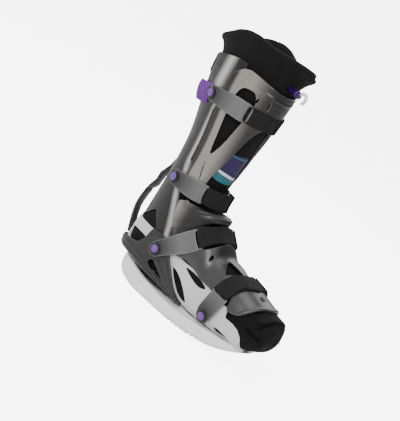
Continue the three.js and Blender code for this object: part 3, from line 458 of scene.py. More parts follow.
def paint_light(bm: bmesh.types.BMesh, values: Numbers) -> None:
    """Keeps painted light and shade on a mesh's vertices, from 0, painted shade, to 1, painted light."""
    tone = bm.verts.layers.float.get(PAINTED_LIGHT) or bm.verts.layers.float.new(PAINTED_LIGHT)
    for vertex, value in zip(bm.verts, values):
        vertex[tone] = float(value)


class Workshop:
    """Shapes that the boot's pieces are made from, each as a bmesh in millimetres."""

    @staticmethod
    def smooth(bm: bmesh.types.BMesh, verts: Sequence[bmesh.types.BMVert], rounds: int) -> None:
        """Moves vertices towards their neighbours a number of times."""
        for _ in range(rounds):
            bmesh.ops.smooth_vert(
                bm, verts=verts, factor=0.5, use_axis_x=True, use_axis_y=True, use_axis_z=True,
            )

    @staticmethod
    def wrap(
        bm: bmesh.types.BMesh, surface: Surface, layer: Layer, relief: Surface | None, scale: float,
    ) -> None:
        """Lays a flat double sheet on a surface, and keeps its flat places as its UV map.

        Args:
            bm: Flat mesh whose z is 0 on the outer face and 1 on the inner one.
            surface: Surface that it is laid on.
            layer: Depths of its two faces.
            relief: Extra depth of the outer face, by flat place.
            scale: Millimetres of the surface for one unit of the first flat place.
        """
        uv = bm.loops.layers.uv.new("UVMap")
        for face in bm.faces:
            for loop in face.loops:
                loop[uv].uv = (loop.vert.co.x * scale * MM, loop.vert.co.y * MM)
        flat = coordinates(bm)
        u, v, inner = flat[:, 0], flat[:, 1], flat[:, 2]
        raised = relief(u, v, inner) if relief else 0
        depth = layer.outer + raised + (layer.inner - layer.outer - raised) * inner
        place(bm, surface(u, v, depth))

    @staticmethod
    def rim_edges(bm: bmesh.types.BMesh) -> list[bmesh.types.BMEdge]:
        """Returns the edges between the faces and the narrow wall of a flat double sheet."""
        wall = {face for face in bm.faces if len({round(vertex.co.z) for vertex in face.verts}) == 2}
        pairs = [(edge, edge.link_faces) for edge in bm.edges if len(edge.link_faces) == 2]
        return [edge for edge, (first, second) in pairs if (first in wall) != (second in wall)]

    @staticmethod
    def round_rim(bm: bmesh.types.BMesh, width: float, edges: Sequence[bmesh.types.BMEdge]) -> None:
        """Bevels the edges of a wall's rim, and marks the middle of the bevel as rim."""
        bmesh.ops.recalc_face_normals(bm, faces=bm.faces[:])
        rim = bm.verts.layers.float.get(RIM) or bm.verts.layers.float.new(RIM)
        made = bmesh.ops.bevel(
            bm, geom=edges, offset=width, offset_type="OFFSET", segments=2, profile=0.5,
            affect="EDGES", clamp_overlap=False, material=-1,
        )
        new = set(made["faces"])
        for vertex in {vertex for face in new for vertex in face.verts}:
            vertex[rim] = float(all(face in new for face in vertex.link_faces))

    @classmethod
    def cut_sheet(
        cls, surface: Surface, region: Region, layer: Layer, cell: float = 2.0, bevel: float = 0.5,
        relief: Surface | None = None, scale: float = 1.0,
    ) -> bmesh.types.BMesh:
        """Makes a curved wall from a flat region: a fine grid whose edge is drawn to the outline.

        Args:
            surface: Surface that the wall lies on.
            region: Its flat shape, in the surface's own two places.
            layer: Depths of its faces.
            cell: Size of the grid's squares.
            bevel: Width of its rounded rim.
            relief: Extra depth of the outer face, by flat place.
            scale: Millimetres of the surface for one unit of the first place.
        """
        outline = region.loops[0]
        low, high = outline.min(0), outline.max(0)
        size = high - low
        count = np.maximum(np.round(size * [scale, 1] / cell), 2).astype(int)
        bm = bmesh.new()
        bmesh.ops.create_grid(bm, x_segments=int(count[0]), y_segments=int(count[1]), size=0.5)
        flat = coordinates(bm)
        flat[:, :2] = low + (flat[:, :2] + 0.5) * size
        place(bm, flat)
        bm.faces.ensure_lookup_table()
        centres = np.array([face.calc_center_median()[:2] for face in bm.faces])
        inside = region.covers(centres)
        bmesh.ops.delete(bm, geom=[f for f, keep in zip(bm.faces[:], inside) if not keep], context="FACES")
        bmesh.ops.delete(bm, geom=[v for v in bm.verts if not v.link_faces], context="VERTS")
        edge = [v for v in bm.verts if v.is_boundary]
        targets = region.nearest(np.array([v.co[:2] for v in edge]))
        for vertex, target in zip(edge, targets):
            vertex.co.x, vertex.co.y = target
        inner = [v for v in bm.verts if not v.is_boundary]
        cls.smooth(bm, inner, 3)
        bmesh.ops.remove_doubles(bm, verts=edge, dist=0.25 * cell)
        made = bmesh.ops.extrude_face_region(bm, geom=bm.faces[:], use_keep_orig=True)
        for vertex in (item for item in made["geom"] if isinstance(item, bmesh.types.BMVert)):
            vertex.co.z = 1.0
        edges = cls.rim_edges(bm)
        cls.wrap(bm, surface, layer, relief, scale)
        cls.round_rim(bm, bevel, edges)
        return bm

    @classmethod
    def plate(
        cls, surface: Surface, rows: Sequence[Station], layer: Layer,
        steps: tuple[int, int] = (90, 12), bevel: float = 0.4, relief: Surface | None = None,
        scale: float = 1.0,
    ) -> bmesh.types.BMesh:
        """Makes a curved plate between a lower and an upper edge.

        Args:
            surface: Surface that the plate lies on.
            rows: Stations of (place, lower edge, upper edge).
            layer: Depths of its faces.
            steps: How many squares it has along and across.
            bevel: Width of its rounded rim.
            relief: Extra depth of the outer face, by flat place.
            scale: Millimetres of the surface for one unit of the first place.
        """
        bm = bmesh.new()
        bmesh.ops.create_grid(bm, x_segments=steps[0], y_segments=steps[1], size=0.5)
        made = bmesh.ops.extrude_face_region(bm, geom=bm.faces[:], use_keep_orig=True)
        for vertex in (item for item in made["geom"] if isinstance(item, bmesh.types.BMVert)):
            vertex.co.z = 1.0
        flat = coordinates(bm)
        table = Table("low high", rows)
        places = np.array([row[0] for row in rows])
        at = places[0] + (flat[:, 0] + 0.5) * (places[-1] - places[0])
        low = np.interp(at, places, table.rows[:, 1])
        high = np.interp(at, places, table.rows[:, 2])
        flat[:, 1] = low + (flat[:, 1] + 0.5) * (high - low)
        flat[:, 0] = at
        place(bm, flat)
        edges = cls.rim_edges(bm)
        cls.wrap(bm, surface, layer, relief, scale)
        cls.round_rim(bm, bevel, edges)
        return bm

    @staticmethod
    def turned(profile: Outline, centre: Vector, way: Vector, steps: int = 40) -> bmesh.types.BMesh:
        """Spins a profile of (radius, height) round an axis.

        Args:
            profile: Points from the axis at the bottom to the axis at the top.
            centre: Where height 0 lies.
            way: Direction of the axis.
            steps: How many steps the spin has.
        """
        bm = bmesh.new()
        points = [bm.verts.new((radius, 0, height)) for radius, height in profile]
        lines = [bm.edges.new(pair) for pair in zip(points, points[1:])]
        bmesh.ops.spin(
            bm, geom=[*points, *lines], cent=(0, 0, 0), axis=(0, 0, 1), angle=2 * math.pi,
            steps=steps, use_merge=True, use_duplicate=False,
        )
        bmesh.ops.remove_doubles(bm, verts=bm.verts[:], dist=0.001)
        bmesh.ops.recalc_face_normals(bm, faces=bm.faces[:])
        turn = way.normalized().to_track_quat("Z", "Y").to_matrix().to_4x4()
        bmesh.ops.transform(bm, matrix=Matrix.Translation(centre) @ turn, verts=bm.verts[:])
        bm.verts.layers.float.new(RIM)
        return bm

    @staticmethod
    def tube(path: Numbers, radius: float, around: int = 12) -> bmesh.types.BMesh:
        """Makes a round tube with closed ends along a path."""
        bm = bmesh.new()
        bm.verts.layers.float.new(RIM)
        bmesh.ops.create_circle(bm, segments=around, radius=radius, cap_ends=False)
        ring = list(bm.verts)
        offsets = [vertex.co.copy() for vertex in ring]
        tangents = np.gradient(path, axis=0)
        loops = bm.edges[:]
        first = loops
        for k, (point, tangent) in enumerate(zip(path, tangents)):
            side = Vector(tangent).normalized()
            lift = Vector((0, 0, 1)) if abs(side.z) < 0.9 else Vector((1, 0, 0))
            across = side.cross(lift).normalized()
            over = across.cross(side)
            if k:
                made = bmesh.ops.extrude_edge_only(bm, edges=loops)["geom"]
                ring = [item for item in made if isinstance(item, bmesh.types.BMVert)]
                loops = [item for item in made if isinstance(item, bmesh.types.BMEdge)]
            for vertex, offset in zip(ring, offsets):
                vertex.co = Vector(point) + across * offset.x + over * offset.y
        for end in (first, loops):
            bmesh.ops.contextual_create(bm, geom=end)
        bmesh.ops.recalc_face_normals(bm, faces=bm.faces[:])
        return bm


def direction(surface: Surface, u: float, v: float, depth: float, step: float = 1.0) -> tuple[Vector, Vector]:
    """Returns a point of a surface and the direction straight out of it."""
    at = np.array([u, u + 1, u, u])
    across = np.array([v, v, v + step, v])
    point, along, wide, out = surface(at, across, np.array([depth, depth, depth, depth + 1.0]))
    normal = Vector(np.cross(along - point, wide - point)).normalized()
    if normal.dot(Vector(out - point)) < 0:
        normal.negate()
    return Vector(point), normal


class Link:
    """Output of a shader node, with arithmetic that adds Math nodes."""

    def __init__(self, graph: "Graph", socket: bpy.types.NodeSocket) -> None:
        """Keeps the node's output."""
        self.graph = graph
        self.socket = socket

    def _math(self, operation: str, first: "Link | float", second: "Link | float") -> "Link":
        """Returns the result of a Math node on two values."""
        return self.graph.node("ShaderNodeMath", {"operation": operation}, {0: first, 1: second})

    def __add__(self, other: "Link | float") -> "Link":
        """Returns the sum."""
        return self._math("ADD", self, other)

    __radd__ = __add__

    def __sub__(self, other: "Link | float") -> "Link":
        """Returns the difference."""
        return self._math("SUBTRACT", self, other)

    def __rsub__(self, other: "Link | float") -> "Link":
        """Returns a number less this value."""
        return self._math("SUBTRACT", other, self)

    def __mul__(self, other: "Link | float") -> "Link":
        """Returns the product."""
        return self._math("MULTIPLY", self, other)

    __rmul__ = __mul__

    def above(self, low: float, high: float) -> "Link":
        """Returns 0 below one value and 1 above another, smooth between them."""
        settings = {"interpolation_type": "SMOOTHSTEP"}
        inputs = {"Value": self, "From Min": low, "From Max": high}
        return self.graph.node("ShaderNodeMapRange", settings, inputs)


Colour = tuple[float, float, float]


class Graph:
    """Node tree of one material."""

    def __init__(self, name: str) -> None:
        """Makes a material with an empty tree, a shader and its output."""
        self.material = bpy.data.materials.new(name)
        self.material.use_nodes = True
        self.tree = self.material.node_tree
        self.tree.nodes.clear()
        self.shader = self.tree.nodes.new("ShaderNodeBsdfPrincipled")
        output = self.tree.nodes.new("ShaderNodeOutputMaterial")
        self.tree.links.new(self.shader.outputs[0], output.inputs[0])

    def node(
        self, kind: str, settings: dict | None = None, inputs: dict | None = None, output: int | str = 0,
    ) -> Link:
        """Adds a node.

        Args:
            kind: Blender's name for the node's type.
            settings: Its own settings, set first.
            inputs: Values or links of its sockets, by name or number.
            output: Which of its outputs is wanted.

        Returns:
            The wanted output.
        """
        made = self.tree.nodes.new(kind)
        for key, value in (settings or {}).items():
            setattr(made, key, value)
        for key, value in (inputs or {}).items():
            self.feed(made.inputs[key], value)
        return Link(self, made.outputs[output])

    def feed(self, socket: bpy.types.NodeSocket, value: "Link | float | Colour") -> None:
        """Links or sets a socket."""
        if isinstance(value, Link):
            self.tree.links.new(value.socket, socket)
        elif isinstance(value, tuple) and len(value) == 3 and socket.type == "RGBA":
            socket.default_value = (*value, 1)
        else:
            socket.default_value = value

    def set(self, **values: "Link | float | Colour") -> None:
        """Feeds the shader's sockets, with an underscore for each space in a name."""
        for key, value in values.items():
            self.feed(self.shader.inputs[key.replace("_", " ")], value)

    def place(self, scale: Colour = (1.0, 1.0, 1.0), turn: float = 0.0, uv: bool = False) -> Link:
        """Returns the object's own coordinates, or its UV map, scaled and turned."""
        source = self.node("ShaderNodeTexCoord", output="UV" if uv else "Object")
        inputs = {"Vector": source, "Scale": scale, "Rotation": (0.0, 0.0, turn)}
        return self.node("ShaderNodeMapping", None, inputs)

    def noise(self, place: Link, scale: float, detail: float = 3.0, rough: float = 0.5) -> Link:
        """Returns a noise value."""
        inputs = {"Vector": place, "Scale": scale, "Detail": detail, "Roughness": rough}
        return self.node("ShaderNodeTexNoise", {"noise_dimensions": "3D"}, inputs)

    def wave(self, place: Link, scale: float, axis: str) -> Link:
        """Returns the value of straight waves along an axis."""
        settings = {"wave_type": "BANDS", "bands_direction": axis, "wave_profile": "SIN"}
        inputs = {"Vector": place, "Scale": scale, "Distortion": 0.0, "Detail": 0.0}
        return self.node("ShaderNodeTexWave", settings, inputs, "Fac")

    def attribute(self, name: str) -> Link:
        """Returns a number kept on the mesh."""
        return self.node("ShaderNodeAttribute", {"attribute_name": name}, None, "Fac")

    def mix(self, factor: "Link | float", first: "Link | Colour", second: "Link | Colour") -> Link:
        """Returns a mix of two colours."""
        return self.node("ShaderNodeMix", {"data_type": "RGBA"}, {0: factor, 6: first, 7: second}, 2)

    def bump(self, height: Link, distance: float, strength: float = 1.0) -> None:
        """Feeds the shader's normal from a height."""
        inputs = {"Height": height, "Distance": distance, "Strength": strength}
        self.set(Normal=self.node("ShaderNodeBump", None, inputs))


def grey(value: float, warm: float = 0.0) -> Colour:
    """Returns a linear grey from a screen value of 0 to 255, made warmer or cooler."""
    linear = (value / 255) ** 2.2
    return (linear * (1 + warm), linear, linear * (1 - warm))


def shade(colour: Colour, factor: float) -> Colour:
    """Returns a colour made lighter or darker."""
    return tuple(min(part * factor, 1.0) for part in colour)


@dataclass(frozen=True)
class Moulded:
    """Moulded plastic: grain, patches, scuffs, a paler rim painted as a highlight, and painted light and
    shade from a lighter colour by the mesh's tone.
    """

    name: str
    colour: Colour
    # Paler colour painted on the bevelled rim as a highlight.
    rim: Colour
    roughness: float = 0.4
    metallic: float = 0.0
    coat: float = 0.0
    grain: float = 0.05
    # Lit colour of the painted light and shade, mixed in by the mesh's tone layer.
    light: Colour | None = None

    def make(self) -> bpy.types.Material:
        """Returns the material."""
        graph = Graph(self.name)
        place_ = graph.place()
        patches = graph.noise(place_, 22.0, 4.0, 0.55)
        fine = graph.noise(place_, 1500.0, 2.0)
        scuffs = graph.noise(graph.place((1.0, 1.0, 0.22), 0.5), 160.0, 5.0, 0.7).above(0.62, 0.8)
        tone = graph.mix(patches, shade(self.colour, 0.88), shade(self.colour, 1.12))
        # Painted light and shade: where the tone layer is 1 the lit colour is painted in.
        if self.light:
            tone = graph.mix(graph.attribute(PAINTED_LIGHT), tone, self.light)
        # Scuffs are real wear, laid over the painted light and shade.
        wear_and_painted_highlight = graph.mix(scuffs * 0.18, tone, shade(self.colour, 1.6))
        # The rim layer paints the bevel middles paler, as a painted highlight.
        graph.set(
            Base_Color=graph.mix(graph.attribute(RIM) * 0.8, wear_and_painted_highlight, self.rim),
            Roughness=patches * 0.12 + scuffs * 0.12 + (self.roughness - 0.08),
            Metallic=self.metallic,
            Coat_Weight=self.coat,
            Coat_Roughness=0.2,
        )
        graph.bump(fine + patches * 0.6, 0.0004, self.grain)
        return graph.material


@dataclass(frozen=True)
class Cloth:
    """Cloth: a weave or knit with fuzz, in the piece's own or the object's coordinates."""

    name: str
    colour: Colour
    thread: float = 1.1
    depth: float = 0.0004
    by_map: bool = False
    lumps: float = 0.0

    def make(self) -> bpy.types.Material:
        """Returns the material."""
        graph = Graph(self.name)
        across = graph.place(uv=self.by_map)
        turned = graph.place(turn=math.pi / 4, uv=self.by_map)
        scale = 1 / (self.thread * MM) / 3.14
        if self.by_map:
            weave = graph.wave(turned, scale, "X") * graph.wave(turned, scale, "Y")
        else:
            weave = graph.wave(turned, scale, "X") * graph.wave(across, scale, "Z")
        fuzz = graph.noise(across, 900.0, 4.0, 0.6)
        patches = graph.noise(graph.place(), 18.0, 4.0, 0.6)
        height = weave * (1.0 if self.by_map else 0.35) + fuzz * 0.8
        tone = graph.mix(patches, shade(self.colour, 0.75), shade(self.colour, 1.3))
        # Painted highlight: the rim layer paints the bevelled rim paler, not wear.
        wear_and_painted_highlight = graph.mix(graph.attribute(RIM) * 0.35, tone, shade(self.colour, 1.9))
        graph.set(
            Base_Color=graph.mix(height.above(0.0, 1.2), shade(self.colour, 0.75), wear_and_painted_highlight),
            Roughness=0.78 + fuzz * 0.18,
            Sheen_Weight=0.02,
            Sheen_Roughness=0.5,
            Specular_IOR_Level=0.12,
        )
        graph.bump(height + patches * self.lumps, self.depth, 0.7)
        return graph.material


@dataclass(frozen=True)
class Rubber:
    """Pale moulded rubber, slightly dirty low down."""

    name: str
    colour: Colour

    def make(self) -> bpy.types.Material:
        """Returns the material."""
        graph = Graph(self.name)
        place_ = graph.place()
        patches = graph.noise(place_, 30.0, 5.0, 0.6)
        specks = graph.noise(place_, 700.0, 3.0)
        tone = graph.mix(patches, shade(self.colour, 0.93), shade(self.colour, 1.02))
        graph.set(
            Base_Color=graph.mix(specks.above(0.62, 0.75) * 0.12, tone, shade(self.colour, 0.6)),
            Roughness=0.5 + patches * 0.2,
        )
        graph.bump(specks + patches, 0.0003, 0.12)
        return graph.material


@dataclass(frozen=True)
class Printed:
    """Printed cloth patch: a violet field with plain slanted bands."""

    name: str
    field: Colour
    pale: Colour
    accent: Colour

    def make(self) -> bpy.types.Material:
        """Returns the material."""
        graph = Graph(self.name)
        uv = graph.place(uv=True)
        split = graph.node("ShaderNodeSeparateXYZ", None, {0: uv}, "Z")
        parts = split.socket.node.outputs
        along, height = Link(graph, parts["X"]), Link(graph, parts["Y"])
        low = leg_height(0.483) * MM
        high = leg_height(0.6) * MM
        rise = (height - low) * (1 / (high - low))
        slant = rise + along * 2.0
        teal = 1 - slant.above(0.18, 0.19)
        white = slant.above(0.2, 0.21) * (1 - slant.above(0.29, 0.3))
        thin = rise.above(0.9, 0.91) * (1 - rise.above(0.94, 0.95))
        colour = graph.mix(white, self.field, self.pale)
        colour = graph.mix(teal, colour, self.accent)
        colour = graph.mix(thin, colour, self.accent)
        weave = graph.wave(uv, 420.0, "X") * graph.wave(uv, 420.0, "Y")
        graph.set(
            Base_Color=graph.mix(weave * 0.15, colour, shade(self.field, 0.6)),
            Roughness=0.55 + weave * 0.2,
        )
        graph.bump(weave, 0.0002, 0.5)
        return graph.material


class Finish(Enum):
    """The boot's finishes."""

    # In each Moulded finish the second colour is a paler rim painted as a highlight, and the last colour,
    # where given, is the lit colour of painted light and shade.
    SOLE = Rubber("pale_rubber", grey(248, 0.0))
    FOOT_SHELL = Moulded("light_grey_plastic", grey(208, 0.01), grey(228), 0.45)
    REAR = Moulded("gunmetal_plastic", grey(24, -0.04), grey(110), 0.38, 0.15, 0.1, 0.05, grey(185, 0.02))
    FRAME = Moulded("gunmetal_frame", grey(40, -0.02), grey(110), 0.4, 0.2, 0.1)
    SHIN = Moulded(
        "warm_grey_plastic", grey(38, 0.05), grey(165, 0.04), 0.34, 0.25, 0.2, 0.05, grey(132, 0.08),
    )
    GAITER = Moulded(
        "soft_grey_plastic", grey(30, 0.02), grey(104, 0.03), 0.48, 0.0, 0.05, 0.05, grey(125, 0.09),
    )
    INSTEP = Moulded("dark_gloss_plastic", grey(26, -0.01), grey(110), 0.42, 0.1, 0.15, 0.05, grey(62))
    ARM = Moulded("grey_strap_plastic", grey(38), grey(165), 0.42, 0.0, 0.1, 0.05, grey(98))
    WASHER = Moulded("black_plastic", grey(10), grey(26), 0.4)
    BUTTON = Moulded("violet_plastic", (0.17, 0.05, 0.34), (0.3, 0.12, 0.5), 0.4, 0.0, 0.1)
    KNOB = Moulded("deep_violet_plastic", (0.025, 0.003, 0.09), (0.06, 0.02, 0.2), 0.4, 0.0, 0.1)
    PALE = Moulded("pale_plastic", grey(240), grey(250), 0.4)
    RIVET = Moulded("bright_rivet", grey(96), grey(150), 0.35, 0.3, 0.2)
    LINER = Cloth("charcoal_fleece", grey(30), 1.3, 0.0012, False, 1.6)
    PIPING = Cloth("black_piping", grey(10), 0.8, 0.0002)
    WEB = Cloth("charcoal_webbing", grey(40), 1.2, 0.0004, True)
    BAND = Cloth("violet_band", (0.16, 0.045, 0.29), 1.0, 0.0003, True)
    LABEL = Printed("printed_patch", (0.014, 0.002, 0.06), grey(215), (0.01, 0.13, 0.18))

    def material(self) -> bpy.types.Material:
        """Returns this finish's material, made when it is first asked for."""
        return bpy.data.materials.get(self.value.name) or self.value.make()


def finish_piece(
    name: str, bm: bmesh.types.BMesh, finish: Finish, nodes: Sequence[str] = (),
) -> bpy.types.Object:
    """Turns a bmesh in millimetres into a finished piece in metres.

    Args:
        name: Name of the piece.
        bm: Its mesh, which is freed.
        finish: Its finish.
        nodes: CAD nodes that it replaces.

    Returns:
        The piece, riding on the boot's body.
    """
    bmesh.ops.scale(bm, vec=(MM, MM, MM), verts=bm.verts[:])
    mesh = bpy.data.meshes.new(name)
    bm.to_mesh(mesh)
    bm.free()
    mesh.shade_smooth()
    mesh.materials.append(finish.material())
    piece = bpy.data.objects.new(name, mesh)
    bpy.context.scene.collection.objects.link(piece)
    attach(piece, ROOT)
    if nodes:
        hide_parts(*nodes)
    LOG.info("%s: %d faces", name, len(mesh.polygons))
    return piece


def ridge(line: Outline, width: float, height: float) -> Surface:
    """Returns a relief that rises along an open line of flat places.

    Args:
        line: Points of the line.
        width: How far from the line the rise ends.
        height: How high it is on the line.
    """
    points = np.array(line, float)

    def relief(u: Numbers, v: Numbers, _inner: Numbers) -> Numbers:
        """Returns the extra depth at flat places."""
        at = np.stack([u, v], -1)[:, None]
        a, b = points[:-1], points[1:]
        edge = b - a
        t = np.clip(((at - a) * edge).sum(2) / (edge ** 2).sum(1), 0, 1)
        gap = np.linalg.norm(at - a - t[..., None] * edge, axis=2).min(1)
        return height * np.clip(1 - (gap / width) ** 2, 0, 1)

    return relief


def together(*reliefs: Surface) -> Surface:
    """Returns the sum of several reliefs."""

    def relief(u: Numbers, v: Numbers, inner: Numbers) -> Numbers:
        """Returns the extra depth at flat places."""
        return sum(part(u, v, inner) for part in reliefs)

    return relief


@dataclass
class Sole:
    """Rocker sole with a groove along its sides and notches in its tread."""

    lip: float = 2.4
    chamfer: float = 7.0
    groove_depth: float = 1.1
    stations: int = 150
    notches: tuple[float, ...] = (0.565, 0.6, 0.635, 0.67, 0.715, 0.755)

    def section(self, at: Numbers, turn: Numbers) -> Numbers:
        """Returns points of the outer skin.

        Args:
            at: Places from the heel as shares of the length.
            turn: 0 at the right rim, 0.5 under the middle and 1 at the left rim.
        """
        widest = FOOT_WIDTH / 2 + REAR.outer + GAP + self.lip
        half = SOLE.read("width", at) * widest
        low = SOLE.read("under", at) * SOLE_HEIGHT
        rim = SOLE.read("rim", at) * SOLE_HEIGHT
        edge = np.minimum(np.minimum(self.chamfer, (rim - low) / 2), half / 2)
        side = np.where(turn < 0.5, -1.0, 1.0)
        down = 1 - np.abs(turn * 2 - 1)
        wall = np.clip(down / 0.4, 0, 1)
        bend = np.clip((down - 0.4) / 0.25, 0, 1)
        under = np.clip((down - 0.65) / 0.35, 0, 1)
        y = half - edge * (1 - np.cos(bend * math.pi / 2)) - (half - edge) * under
        z = rim + (low + 1.6 * edge - rim) * wall - 1.6 * edge * np.sin(bend * math.pi / 2)
        groove = np.exp(-(((z - (rim * 0.52 + low * 0.48)) / 1.1) ** 2)) * (bend < 1)
        y = y - self.groove_depth * groove
        place_ = at * SOLE_LENGTH - SOLE_REACH
        for notch in self.notches:
            middle = notch * SOLE_LENGTH - SOLE_REACH
            cut = np.clip(1 - np.abs((place_ - middle) / 3.2) ** 4, 0, 1)
            z = z + cut * 3.4 * np.clip(bend + under, 0, 1)
        return np.stack([place_, side * y, z], -1)

    def build(self) -> None:
        """Builds the sole as an open trough closed by a bed under the foot shell."""
        bm = bmesh.new()
        bm.verts.layers.float.new(RIM)
        bmesh.ops.create_grid(bm, x_segments=self.stations, y_segments=72, size=0.5)
        flat = coordinates(bm)
        share = (1 - np.cos((flat[:, 0] + 0.5) * math.pi)) / 2
        place(bm, self.section(share, flat[:, 1] + 0.5))
        rim = [edge for edge in bm.edges if edge.is_boundary]
        made = bmesh.ops.extrude_edge_only(bm, edges=rim)["geom"]
        lip = [item for item in made if isinstance(item, bmesh.types.BMVert)]
        for vertex in lip:
            vertex.co.y *= 0.9
            vertex.co.x = -SOLE_REACH + 6 + (vertex.co.x + SOLE_REACH) * (SOLE_LENGTH - 12) / SOLE_LENGTH
            vertex.co.z -= 2.0
        bmesh.ops.holes_fill(bm, edges=[e for e in bm.edges if e.is_boundary])
        bmesh.ops.recalc_face_normals(bm, faces=bm.faces[:])
        finish_piece("sole", bm, Finish.SOLE, ["rocker_sole"])


@dataclass
class FootShell:
    """Heel cup, side wings and toe guard."""

    low_edge: float = 16.0

    def outline(self) -> Outline:
        """Returns the shell's flat shape, right side, heel and left side in one."""
        top = [
            (-0.2, 1.262), (-0.06, 1.258), (0.06, 1.183), (0.17, 1.162), (0.28, 1.18), (0.37, 1.11),
            (0.42, 1.04), (0.53, 1.032), (0.54, 0.849), (0.59, 0.849), (0.63, 0.806), (0.662, 0.698),
            (0.672, 0.548),
        ]
        right = [(FORM.heel_run(ahead(x)), up(z)) for x, z in top]
        low = [(ahead(0.672), self.low_edge)]
        return [*round_back(right), *right, *low, *round_back(low)]

    def windows(self) -> list[Outline]:
        """Returns the openings of both sides."""
        shapes = [
            [(-0.23, 1.043), (-0.06, 1.032), (-0.13, 0.731), (-0.2, 0.698)],
            [(0.118, 0.914), (0.15, 0.925), (0.2, 0.849), (0.26, 0.677), (0.305, 0.472), (0.24, 0.472)],
            [(0.175, 1.1), (0.27, 1.13), (0.38, 1.035), (0.31, 0.93)],
            [(0.51, 0.569), (0.63, 0.526), (0.51, 0.462)],
            [(-0.035, 0.62), (-0.005, 0.785), (0.03, 0.775), (0.15, 0.47), (0.055, 0.5)],
        ]
        found = []
        for shape in shapes:
            right = rounded([(FORM.heel_run(ahead(x)), up(z)) for x, z in shape])
            found.extend([right, round_back(right)])
        return found

    def build(self) -> None:
        """Builds the shell."""
        region = Region(rounded(self.outline(), 2, 0.12), self.windows())
        bm = Workshop.cut_sheet(FORM.round_heel, region, REAR, 2.0, 0.5)
        finish_piece("foot_shell_skin", bm, Finish.FOOT_SHELL, ["foot_shell"])


@dataclass
class HeelFrame:
    """Dark band round the heel with the ankle hub, and a leg that runs to the sole."""

    hub_root: float = 9.0

    def build(self) -> None:
        """Builds the frame and its hub bosses."""
        top = [
            (-0.34, 0.731), (-0.2, 0.774), (-0.125, 0.838), (-0.1, 1.0), (-0.086, 1.3), (0.02, 1.3),
            (0.07, 1.1),
        ]
        down = [(0.085, 1.032), (0.122, 0.892), (0.185, 0.634), (0.24, 0.42), (0.272, 0.37)]
        low = [
            (0.262, 0.3), (0.14, 0.338), (-0.02, 0.386), (-0.08, 0.451), (-0.14, 0.505),
            (-0.2, 0.537), (-0.34, 0.569),
        ]
        right = self.flat([*top, *down, *low])
        window = [(-0.02, 0.634), (0.0, 0.774), (0.02, 0.763), (0.135, 0.483), (0.06, 0.515)]
        hole = rounded(self.flat(window))
        rails = [
            ridge(self.both([(-0.2, 0.6), (-0.08, 0.53), (0.0, 0.47), (0.14, 0.42), (0.25, 0.36)]), 3.2, 0.9),
            ridge(self.both([(-0.2, 0.7), (-0.1, 0.66), (-0.03, 0.6)]), 3.2, 0.9),
            ridge(self.flat([(0.04, 0.8), (0.12, 0.62), (0.2, 0.44)]), 3.0, 1.0),
            ridge(self.flat([(0.09, 0.9), (0.15, 0.68), (0.22, 0.46)]), 3.0, 1.0),
        ]
        region = Region(rounded([*right, *round_back(right)], 1, 0.15), [hole, round_back(hole)])
        bm = Workshop.cut_sheet(FORM.round_heel, region, FRAME, 1.8, 0.6, together(*rails))
        finish_piece("heel_frame_skin", bm, Finish.FRAME, ["heel_frame"])
        for side, name in ((-1, "right"), (1, "left")):
            inner = HUB_FACE - self.hub_root
            profile = [
                (0, inner), (HUB_RADIUS, inner), (HUB_RADIUS, HUB_FACE - 1.2),
                (HUB_RADIUS - 0.5, HUB_FACE - 0.3), (HUB_RADIUS - 1.4, HUB_FACE), (0, HUB_FACE),
            ]
            boss = Workshop.turned(profile, Vector((0, 0, ANKLE_HEIGHT)), Vector((0, side, 0)), 48)
            finish_piece(f"ankle_hub_{name}", boss, Finish.FRAME)

    @staticmethod
    def flat(rows: Outline) -> Outline:
        """Returns a side view line as flat places on the right side."""
        return [(FORM.heel_run(ahead(x)), up(z)) for x, z in rows]

    @classmethod
    def both(cls, rows: Outline) -> Outline:
        """Returns a side view line as flat places on both sides and round the heel."""
        right = cls.flat(rows)
        return [*round_back(right), *right]


